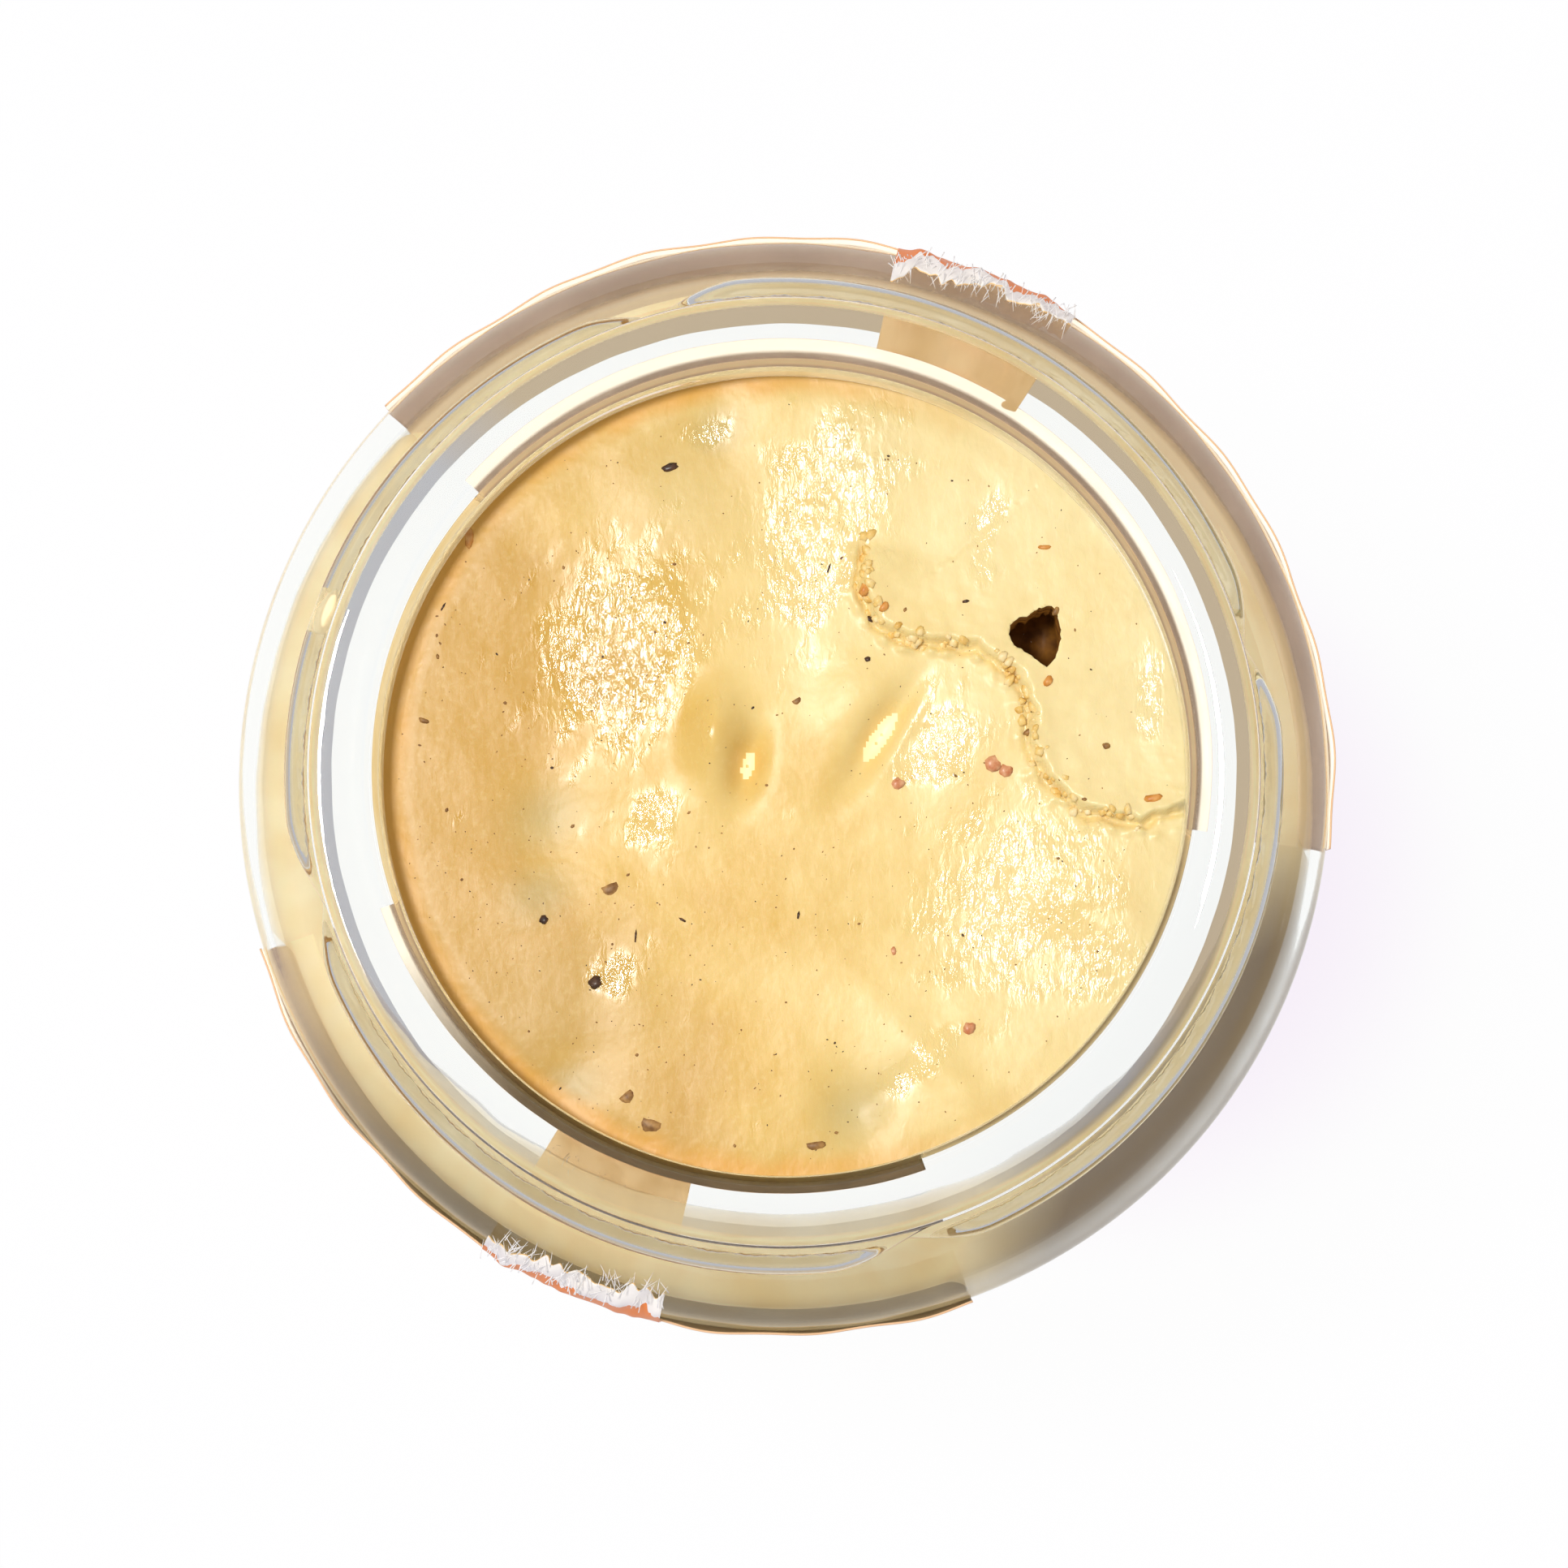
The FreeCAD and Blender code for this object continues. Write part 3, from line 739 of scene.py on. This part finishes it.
def arc(start, middle, end, count):
    """Points on the arc through three places, without its last point."""
    (ax, ay), (bx, by), (cx, cy) = start, middle, end
    d = 2 * (ax * (by - cy) + bx * (cy - ay) + cx * (ay - by))
    a, b, c = (x * x + y * y for x, y in (start, middle, end))
    ux = (a * (by - cy) + b * (cy - ay) + c * (ay - by)) / d
    uy = (a * (cx - bx) + b * (ax - cx) + c * (bx - ax)) / d
    radius = math.hypot(ax - ux, ay - uy)
    first, through, last = (math.atan2(q[1] - uy, q[0] - ux) for q in (start, middle, end))
    turn = (last - first) % math.tau
    if (through - first) % math.tau > turn:
        turn -= math.tau
    angles = [first + turn * i / count for i in range(count)]
    return [(ux + radius * math.cos(angle), uy + radius * math.sin(angle)) for angle in angles]


def make_hole_cutter():
    """A heart-shaped plug, the form of the hole left in the skin."""
    notch, left_low, tip, right_top = (-0.48, 1.18), (-1.30, -0.62), (0.78, -2.02), (1.15, 1.78)
    outline = arc(notch, (-1.50, 0.62), left_low, 14)
    outline += [
        (left_low[0] + (tip[0] - left_low[0]) * i / 10, left_low[1] + (tip[1] - left_low[1]) * i / 10)
        for i in range(10)
    ]
    outline += arc(tip, (1.60, -0.05), right_top, 16)
    outline += arc(right_top, (0.22, 1.66), notch, 12)
    plug = begin(bpy.ops.mesh.primitive_circle_add, "hole_plug", vertices=len(outline), radius=MM,
                 fill_type="NGON")
    rng = random.Random(4)
    co = points(plug)
    for i, (x, y) in enumerate(outline):
        co[i] = (HOLE[0] + x + rng.uniform(-0.05, 0.05), HOLE[1] + y + rng.uniform(-0.05, 0.05),
                 FILL_LEVEL + 1.5)
    set_points(plug, co)
    edit(plug)
    bpy.ops.mesh.select_all(action="SELECT")
    bpy.ops.mesh.extrude_region_move(TRANSFORM_OT_translate={"value": (0, 0, -(HOLE_DEPTH + 1.5) * MM)})
    face_outward()
    plug.data.materials.append(hole_wall())
    return plug


def keep_shares(piece):
    """Writes how wet each point of the top is, and how much painted shade it gets in dips, broad zones and
    by the glass.
    """
    co = points(piece)
    x, y = co[:, 0], co[:, 1]
    top = (co[:, 2] > FILL_LEVEL - 2.5).astype(float)
    wet = wet_share(x, y)
    painted_grey_shade = np.zeros_like(x)
    for spot_x, spot_y, size in SHADED_DIPS:
        painted_grey_shade = np.maximum(painted_grey_shade, spot_share(x, y, spot_x, spot_y, size * 0.8, size, 30))
    for spot_x, spot_y, size, share in SHADED_ZONES:
        painted_grey_shade = np.maximum(painted_grey_shade, share * spot_share(x, y, spot_x, spot_y, size * 0.8, size, 30))
    radius = np.hypot(x, y)
    # Painted shade along the glass on the left.
    left = smooth_step(-x / np.maximum(radius, 1.0), -0.75, 0.2)
    rim_painted_shade = left * (1 - smooth_step(BORE - radius + 0.4 * ripple(x, y, 3.0, 9), 0.1, 1.7))
    for name, values in (("wet", wet), ("painted_grey_shade", painted_grey_shade), ("rim_painted_shade", rim_painted_shade)):
        layer = piece.data.attributes.new(name, "FLOAT", "POINT")
        layer.data.foreach_set("value", (values * top).astype(np.float32))


def press_to_glass(piece):
    """Between the labels the paste still clings to the wall; behind them it has drawn back a little."""
    co = points(piece)
    radius = np.hypot(co[:, 0], co[:, 1])
    degrees = np.degrees(np.arctan2(co[:, 1], co[:, 0])) % 360
    clings = np.zeros_like(radius)
    for start, end in ((FRONT_LABEL[1], BACK_LABEL[0]), (BACK_LABEL[1], 360 + FRONT_LABEL[0])):
        begun = smooth_step(degrees, start - 2, start + 2)
        ended = smooth_step(degrees, end - 2, end + 2)
        clings = np.maximum(clings, begun * (1 - ended))
    around = np.radians(degrees)
    wavy = CAVITY_CORNER + 1.4 + 0.5 * np.sin(around * 7) + 0.3 * np.sin(around * 17)
    low = (co[:, 2] < wavy) & (co[:, 2] > WET_LINE - 1) & (radius > BORE - 1)
    radius_now = radius + np.where(low, clings * (STAND_OFF + INTO_WALL), 0.0)
    co[:, :2] *= (radius_now / np.maximum(radius, 1e-6))[:, None]
    set_points(piece, co)


def make_mustard():
    """The fill: a fine grid drawn out to a disc for the top, then rings down the glass."""
    piece = begin(bpy.ops.mesh.primitive_grid_add, "mustard_fill", x_subdivisions=TOP_CELLS,
                  y_subdivisions=TOP_CELLS, size=2 * MM)
    co = points(piece)
    x = co[:, 0] * np.sqrt(1 - co[:, 1] ** 2 / 2)
    y = co[:, 1] * np.sqrt(1 - co[:, 0] ** 2 / 2)
    top = BORE + INTO_WALL
    co[:, 0] = x * top
    co[:, 1] = y * top
    co[:, 2] = FILL_LEVEL + surface_height(co[:, 0], co[:, 1])
    set_points(piece, co)
    edit(piece)
    bpy.ops.mesh.select_mode(type="EDGE")
    bpy.ops.mesh.select_all(action="SELECT")
    bpy.ops.mesh.region_to_loop()
    # The first ring levels the uneven edge against the glass.
    level = FILL_LEVEL - 1.0
    bpy.ops.mesh.extrude_edges_move(TRANSFORM_OT_translate={"value": (0, 0, -1.0 * MM)})
    bpy.ops.transform.resize(value=(1, 1, 0), center_override=(0, 0, level * MM))
    wide = CAVITY + INTO_WALL
    off_bore = BORE - STAND_OFF
    off_wall = CAVITY - STAND_OFF
    last = (top, level)
    for ring in [(off_bore, level - 0.4), (off_bore, BORE_CORNER - 0.3), (off_wall, CAVITY_CORNER - 0.3),
                 (off_wall, WET_LINE), (wide, WET_LINE - 1.5), (wide, FLOOR - INTO_WALL)]:
        grow_ring(*ring, *last)
        last = ring
    close_ring(0)
    inner_turn = math.pi / 2 - INNER_SLOPE
    round_ring(piece, wide, FLOOR - INTO_WALL, FLOOR_ROUND + INTO_WALL, math.pi / 2, 4)
    round_ring(piece, off_wall, CAVITY_CORNER - 0.3, INNER_SHOULDER_ROUND, inner_turn, 4)
    round_ring(piece, off_bore, BORE_CORNER - 0.3, BORE_ROUND, inner_turn, 4)
    face_outward()
    press_to_glass(piece)
    piece.data.materials.append(mustard_paste())
    piece.data.materials.append(mustard_by_glass())
    for face in piece.data.polygons:
        face.material_index = 1 if face.center.z / MM < level - 0.1 and abs(face.normal.z) < 0.99 else 0
    plug = make_hole_cutter()
    apply(piece, "BOOLEAN", "hole", operation="DIFFERENCE", object=plug, solver="EXACT",
          material_mode="TRANSFER")
    bpy.data.objects.remove(plug)
    keep_shares(piece)
    return finish_piece(piece, None, "mustard", "mustard")


# ------------------------------------------------------------------ bits in the mustard

def scatter(name, template, spots, material):
    """Lays copies of one bit on the mustard and joins them: place, size, turn and how deep it sits."""
    copies = [
        laid_copy(template, (x, y, top_at(x, y) - depth), (0, 0, math.radians(turn)), (length, width, thick))
        for x, y, length, width, thick, turn, depth in spots
    ]
    piece = join_copies(template, copies, name)
    piece.data.name = name
    return finish_piece(piece, material, "mustard")


def bit_template(name, faces, roughness, seed):
    """A lump one millimetre long, roughened at random."""
    bit = begin(bpy.ops.mesh.primitive_ico_sphere_add, name, subdivisions=faces, radius=0.5 * MM)
    rng = random.Random(seed)
    co = points(bit)
    co *= np.array([[rng.uniform(1 - roughness, 1 + roughness)] for _ in co])
    set_points(bit, co)
    return bit


def skin_crumbs():
    """Crumbs of paste along the skin's torn edge."""
    rng = random.Random(41)
    crumbs = []
    for (ax, ay), (bx, by) in zip(SKIN_EDGE, SKIN_EDGE[1:-1]):
        length = math.hypot(bx - ax, by - ay)
        for _ in range(round(length * 3.2)):
            along = rng.uniform(0, 1)
            off = rng.gauss(-0.05, 0.32)
            x = ax + along * (bx - ax) + off * (by - ay) / length
            y = ay + along * (by - ay) - off * (bx - ax) / length
            size = rng.uniform(0.22, 0.62)
            crumbs.append((x, y, size * rng.uniform(1.0, 1.5), size, size * 0.75, rng.uniform(0, 180), 0.02))
    return crumbs


def make_bits():
    """Bran, husks, seeds, crumbs and specks: each spot has place, size, turn and how deep it sits."""
    dark = bran_flake("dark_bran", "#2e1d14", "#5a3a22", 0.35)
    brown = bran_flake("brown_bran", "#7d5426", "#b48648", 0.5)
    orange = bran_flake("orange_husk", "#d0822e", "#ecb060", 0.4)
    red = bran_flake("red_seed", "#c9794a", "#e8b384", 0.35)
    flakes = [(-7.1, 19.2, 1.15, 0.55, 0.34, 15, 0.02), (-14.9, -9.0, 0.62, 0.60, 0.45, 40, 0.05),
              (-11.7, -12.9, 0.95, 0.90, 0.70, 20, 0.10), (5.3, 9.75, 0.75, 0.35, 0.3, -30, 0.0),
              (5.2, 7.2, 0.42, 0.36, 0.3, 0, 0.03), (15.5, 4.1, 0.5, 0.3, 0.3, 60, 0.02)]
    scatter("dark_flakes", bit_template("flake", 2, 0.22, 11), flakes, dark)
    slender = [(-9.2, -10.0, 1.0, 0.16, 0.14, 85, 0.02), (2.8, 12.9, 0.75, 0.16, 0.14, 70, 0.02),
               (-21.2, 10.5, 0.7, 0.16, 0.14, 60, 0.02), (0.9, -8.7, 0.6, 0.2, 0.15, 80, 0.02),
               (-6.3, -9.0, 0.6, 0.2, 0.15, 150, 0.02), (11.3, 10.8, 0.55, 0.25, 0.15, 10, 0.02)]
    scatter("slender_bran", bit_template("sliver", 1, 0.15, 12), slender, dark)
    brown_bits = [(20.0, 1.8, 0.5, 0.45, 0.35, 0, 0.03), (-10.8, -7.1, 1.3, 1.0, 0.4, 20, 0.12),
                  (-9.7, -20.0, 1.1, 0.9, 0.4, 40, 0.10), (-8.3, -21.7, 1.6, 1.1, 0.4, -20, 0.12),
                  (1.9, -23.0, 1.4, 0.7, 0.4, 5, 0.10), (16.9, 10.2, 0.6, 0.4, 0.3, 60, 0.03),
                  (15.2, 2.7, 0.7, 0.4, 0.3, 30, 0.03), (-22.4, 3.4, 0.7, 0.35, 0.3, -20, 0.03),
                  (0.8, 4.6, 0.7, 0.5, 0.3, 30, 0.08)]
    scatter("brown_clumps", bit_template("clump", 2, 0.25, 13), brown_bits, brown)
    husks = [(-19.6, 14.8, 1.5, 0.55, 0.30, 88, 0.02), (16.2, 14.2, 0.9, 0.30, 0.25, 0, 0.02),
             (22.9, -1.5, 1.25, 0.50, 0.25, 8, 0.02), (6.2, 10.4, 0.8, 0.5, 0.4, 40, 0.0),
             (5.0, 11.5, 0.9, 0.6, 0.5, 70, 0.0), (16.4, 5.8, 0.8, 0.5, 0.4, 50, 0.0)]
    scatter("orange_husks", bit_template("husk", 2, 0.2, 14), husks, orange)
    seeds = [(13.0, 0.7, 1.15, 1.0, 0.6, 10, 0.12), (13.8, 0.3, 0.95, 0.8, 0.5, 50, 0.10),
             (7.1, -0.5, 1.05, 0.7, 0.5, 30, 0.14), (11.5, -15.7, 0.95, 0.7, 0.5, 60, 0.10),
             (6.8, -10.9, 0.6, 0.3, 0.3, 100, 0.04)]
    scatter("red_seeds", bit_template("seed", 2, 0.22, 15), seeds, red)
    scatter("skin_crumbs", bit_template("crumb", 2, 0.22, 18), skin_crumbs(), mustard_crumb())
    rng = random.Random(31)
    specks = []
    while len(specks) < SPECKS:
        x, y = rng.uniform(-24, 24), rng.uniform(-24, 24)
        denser = 0.35 + 0.65 * min(1.0, max(0.0, (8 - x - y) / 40 + 0.3))
        if math.hypot(x, y) > 24 or rng.random() > denser:
            continue
        size = rng.uniform(0.05, 0.11) * (2.2 if rng.random() < 0.10 else 1.0)
        specks.append((x, y, size * rng.uniform(1, 1.9), size, size * 0.8, rng.uniform(0, 180), 0.01))
    third = len(specks) // 3
    scatter("fine_specks", bit_template("speck", 1, 0.2, 16), specks[:third], dark)
    scatter("fine_bran", bit_template("bran", 1, 0.2, 17), specks[third:], brown)


def make_smear():
    """A little mustard left on the outside of the neck."""
    piece = begin(bpy.ops.mesh.primitive_uv_sphere_add, "neck_smear", segments=40, ring_count=24,
                  radius=MM)
    co = points(piece)
    angle = math.radians(SMEAR_ANGLE) + co[:, 1] * 1.5 / 30 + 0.01 * ripple(co[:, 0], co[:, 2], 1.2, 41)
    height = SMEAR_HEIGHT + co[:, 2] * 1.6
    radius = NECK + 0.55 + co[:, 0] * 0.5 + 0.1 * ripple(co[:, 1], co[:, 2], 0.9, 42)
    co = np.stack([radius * np.cos(angle), radius * np.sin(angle), height], axis=1)
    set_points(piece, co)
    # The smear wears the paste's side material, with its painted glow.
    return finish_piece(piece, made_once(mustard_by_glass), "mustard")


# ------------------------------------------------------------------ paper

def wall_radius(height):
    """The glass's outer radius at a height on the wall or the shoulder's round."""
    over = np.clip(height - SHOULDER_START, 0, SHOULDER_ROUND)
    return BODY - SHOULDER_ROUND + np.sqrt(SHOULDER_ROUND ** 2 - over ** 2)


def level_print(piece):
    """Evens the print's run up the sheet, whose rows crowd together at its top."""
    layer = piece.data.uv_layers["UVMap"].data
    for loop in piece.data.loops:
        height = piece.data.vertices[loop.vertex_index].co.z / MM
        layer[loop.index].uv.y = (height - LABEL_BOTTOM) / (LABEL_TOP - LABEL_BOTTOM)


def make_label(name, span, node_name):
    """A flat sheet of label paper, rolled round the wall, its top edge lifting in waves."""
    start, end = (math.radians(angle) for angle in span)
    piece = begin(bpy.ops.mesh.primitive_grid_add, name, x_subdivisions=int((end - start) * 110),
                  y_subdivisions=60, size=2 * MM)
    co = points(piece)
    across = (co[:, 0] + 1) / 2
    up = (co[:, 1] + 1) / 2
    height = LABEL_BOTTOM + (LABEL_TOP - LABEL_BOTTOM) * (1 - (1 - up) ** 2)
    angle = start + (end - start) * across
    lift = 0.5 + 0.5 * np.sin(angle * 9 + 1.3) * np.sin(angle * 23)
    curl = smooth_step(height, SHOULDER_START - 2.5, LABEL_TOP) * (0.10 + 0.30 * np.clip(lift, 0, 1))
    upright = BODY - 0.03 - 0.25 * smooth_step(height, SHOULDER_START, LABEL_TOP)
    radius = np.maximum(wall_radius(height) - 0.03, upright) + curl
    co[:, 0] = radius * np.cos(angle)
    co[:, 1] = radius * np.sin(angle)
    co[:, 2] = height
    set_points(piece, co)
    level_print(piece)
    apply(piece, "SOLIDIFY", "paper", thickness=LABEL_PAPER * MM, offset=1.0)
    piece.data.materials.append(made_once(label_print))
    piece.data.materials.append(made_once(label_back))
    for face in piece.data.polygons:
        face.material_index = 1 if face.normal.dot(face.center) < 0 else 0
    return finish_piece(piece, None, "label_paper", node_name)


def seal_section(run):
    """The seal's radius, height and outward slope at a run up the wall and over the shoulder."""
    straight = SHOULDER_START - SEAL_FOOT
    turn = math.pi / 2 - SHOULDER_SLOPE
    bend = np.clip((run - straight) / SHOULDER_ROUND, 0, turn)
    past = np.clip(run - straight - SHOULDER_ROUND * turn, 0, None)
    radius = BODY - SHOULDER_ROUND + SHOULDER_ROUND * np.cos(bend) - past * math.cos(SHOULDER_SLOPE)
    height = (SEAL_FOOT + np.minimum(run, straight) + SHOULDER_ROUND * np.sin(bend)
              + past * math.sin(SHOULDER_SLOPE))
    return radius, height, np.cos(bend), np.sin(bend)


def make_seal(name, middle, node_name, seed):
    """One end of the torn paper seal: ragged at its top, with split layers of white fibre."""
    piece = begin(bpy.ops.mesh.primitive_grid_add, name, x_subdivisions=90, y_subdivisions=160,
                  size=2 * MM)
    co = points(piece)
    side = co[:, 0] * SEAL_WIDTH / 2
    up = (co[:, 1] + 1) / 2
    torn = SEAL_TEAR + 0.8 * ripple(side, side * 0, 3.4, seed) + 0.5 * ripple(side, side * 0, 0.9, seed + 1)
    torn = torn + 0.10 * side
    run = up * torn
    radius, height, out, rise = seal_section(run)
    lifted = 0.30 + 0.35 * smooth_step(up, 0.8, 1.0) * (1 + ripple(side, run, 2.2, seed + 2))
    radius = radius + out * lifted
    height = height + rise * lifted
    angle = math.radians(middle) + side / BODY
    set_points(piece, np.stack([radius * np.cos(angle), radius * np.sin(angle), height], axis=1))
    apply(piece, "SOLIDIFY", "paper", thickness=SEAL_PAPER * MM, offset=0.0)
    piece.data.materials.append(made_once(seal_print))
    piece.data.materials.append(made_once(seal_back))
    for face in piece.data.polygons:
        face.material_index = 1 if face.normal.dot(Vector((face.center.x, face.center.y, 0.02))) < 0 else 0
    finish_piece(piece, None, "seal_paper", node_name)
    make_fibres(name, middle, seed)


def make_fibres(name, middle, seed):
    """White paper hairs along the tear."""
    rng = random.Random(seed)
    hair = begin(bpy.ops.mesh.primitive_cone_add, "hair", vertices=5, radius1=0.035 * MM,
                 radius2=0.012 * MM, depth=1.0 * MM, end_fill_type="NGON")
    copies = []
    for _ in range(FIBRES):
        side = rng.uniform(-SEAL_WIDTH / 2, SEAL_WIDTH / 2)
        run = SEAL_TEAR - 0.4 + 0.10 * side + rng.uniform(-0.9, 1.1)
        radius, height, out, rise = (float(v) for v in seal_section(np.array(run)))
        angle = math.radians(middle) + side / BODY
        lift = rng.uniform(0.4, 1.0)
        root = radius + out * lift
        place = (root * math.cos(angle), root * math.sin(angle), height + rise * lift)
        inward = Vector((-math.cos(angle), -math.sin(angle), rng.uniform(-0.2, 0.6)))
        inward += Vector((rng.uniform(-1, 1), rng.uniform(-1, 1), 0)) * 0.8
        turn = inward.to_track_quat("Z", "Y").to_euler()
        copies.append(laid_copy(hair, place, turn, (1, 1, rng.uniform(0.5, 1.5))))
    piece = join_copies(hair, copies, name + "_fibres")
    return finish_piece(piece, made_once(torn_fibre), "seal_paper")


# ------------------------------------------------------------------ stage

def make_stage():
    """A white floor with a faint painted lavender shadow beside the jar."""
    floor = begin(bpy.ops.mesh.primitive_plane_add, "floor", size=3.0)
    material, tree = new_material("white_sweep")
    path = node(tree, "LightPath")
    seen = sums(tree, "MAXIMUM", path.outputs["Is Camera Ray"], path.outputs["Is Glossy Ray"])
    seen = sums(tree, "MAXIMUM", seen, path.outputs["Is Transmission Ray"])
    # Plain white far out; close by on the jar's lee side a painted lavender shadow: the floor's white lift
    # is tinted lavender and weaker there.
    place = node(tree, "TexCoord").outputs["Object"]
    shift = node(tree, "VectorMath", {0: place, 1: (-22 * MM, 2 * MM, 0)}, operation="ADD")
    away = node(tree, "VectorMath", {0: shift.outputs[0]}, operation="LENGTH").outputs["Value"]
    near = share_between(tree, away, 30 * MM, 13 * MM, interpolation_type="SMOOTHSTEP")
    lift = node(tree, "Emission", {"Color": blend(tree, near, "#ffffff", "#fcf4ff"), "Strength": 1.0})
    share = sums(tree, "MULTIPLY", seen, from_to(tree, near, 0.97, 0.89))
    matt = node(tree, "BsdfDiffuse", {"Color": colour("#f3edff")})
    both = node(tree, "MixShader", {"Fac": share, 1: matt.outputs[0], 2: lift.outputs[0]})
    node(tree, "OutputMaterial", {"Surface": both.outputs[0]})
    floor.data.materials.append(material)


def make_lights():
    """A pale studio all round and one soft lamp high on the left."""
    world = bpy.data.worlds.new("studio")
    bpy.context.scene.world = world
    world.use_nodes = True
    tree = world.node_tree
    tree.nodes.clear()
    # A white studio whose far right side, low down, is a warm tan wall.
    look = node(tree, "TexCoord").outputs["Generated"]
    axes = node(tree, "SeparateXYZ", {"Vector": look})
    right = sums(tree, "ADD", sums(tree, "MULTIPLY", axes.outputs["X"], 0.75),
                 sums(tree, "MULTIPLY", axes.outputs["Y"], 0.85))
    wall = share_between(tree, right, 0.05, 0.30)
    low = share_between(tree, axes.outputs["Z"], 0.45, 0.25)
    tone = blend(tree, sums(tree, "MULTIPLY", wall, low), "#f6f6ff", "#ffe6c4")
    seen = node(tree, "LightPath").outputs["Is Camera Ray"]
    tone = blend(tree, seen, tone, "#ffffff")
    sky = node(tree, "Background", {"Color": tone, "Strength": from_to(tree, seen, 0.54, 1.0)})
    node(tree, "OutputWorld", {"Surface": sky.outputs[0]})
    key = bpy.data.lights.new("key", "AREA")
    key.shape = "RECTANGLE"
    key.size = 0.15
    key.size_y = 0.17
    key.energy = 6.4
    key.color = (1.0, 0.97, 0.92)
    lamp = bpy.data.objects.new("key", key)
    bpy.context.scene.collection.objects.link(lamp)
    place = Vector((-0.24, 0.06, 1.04))
    lamp.location = place
    lamp.rotation_euler = (Vector((0, 0, 0.08)) - place).to_track_quat("-Z", "Y").to_euler()


def make_camera():
    """A long lens almost straight above the mouth."""
    camera = bpy.data.cameras.new("camera")
    camera.sensor_width = 36.0
    camera.lens = 187.0
    camera.clip_start = 0.01
    body = bpy.data.objects.new("camera", camera)
    bpy.context.scene.collection.objects.link(body)
    target = Vector((0, 0, 0.076))
    tilt = math.radians(3.5)
    away = 0.515
    body.location = target + Vector((0, -math.sin(tilt), math.cos(tilt))) * away
    body.rotation_euler = (tilt, 0, 0)
    bpy.context.scene.camera = body


make_camera()
make_glass()
make_mustard()
make_bits()
make_smear()
make_label("front_label", FRONT_LABEL, "label_front")
make_label("back_label", BACK_LABEL, "label_back")
make_seal("front_seal", FRONT_SEAL, "seal_front", 61)
make_seal("back_seal", BACK_SEAL, "seal_back", 71)
make_stage()
make_lights()
bpy.context.scene.view_settings.view_transform = "Standard"
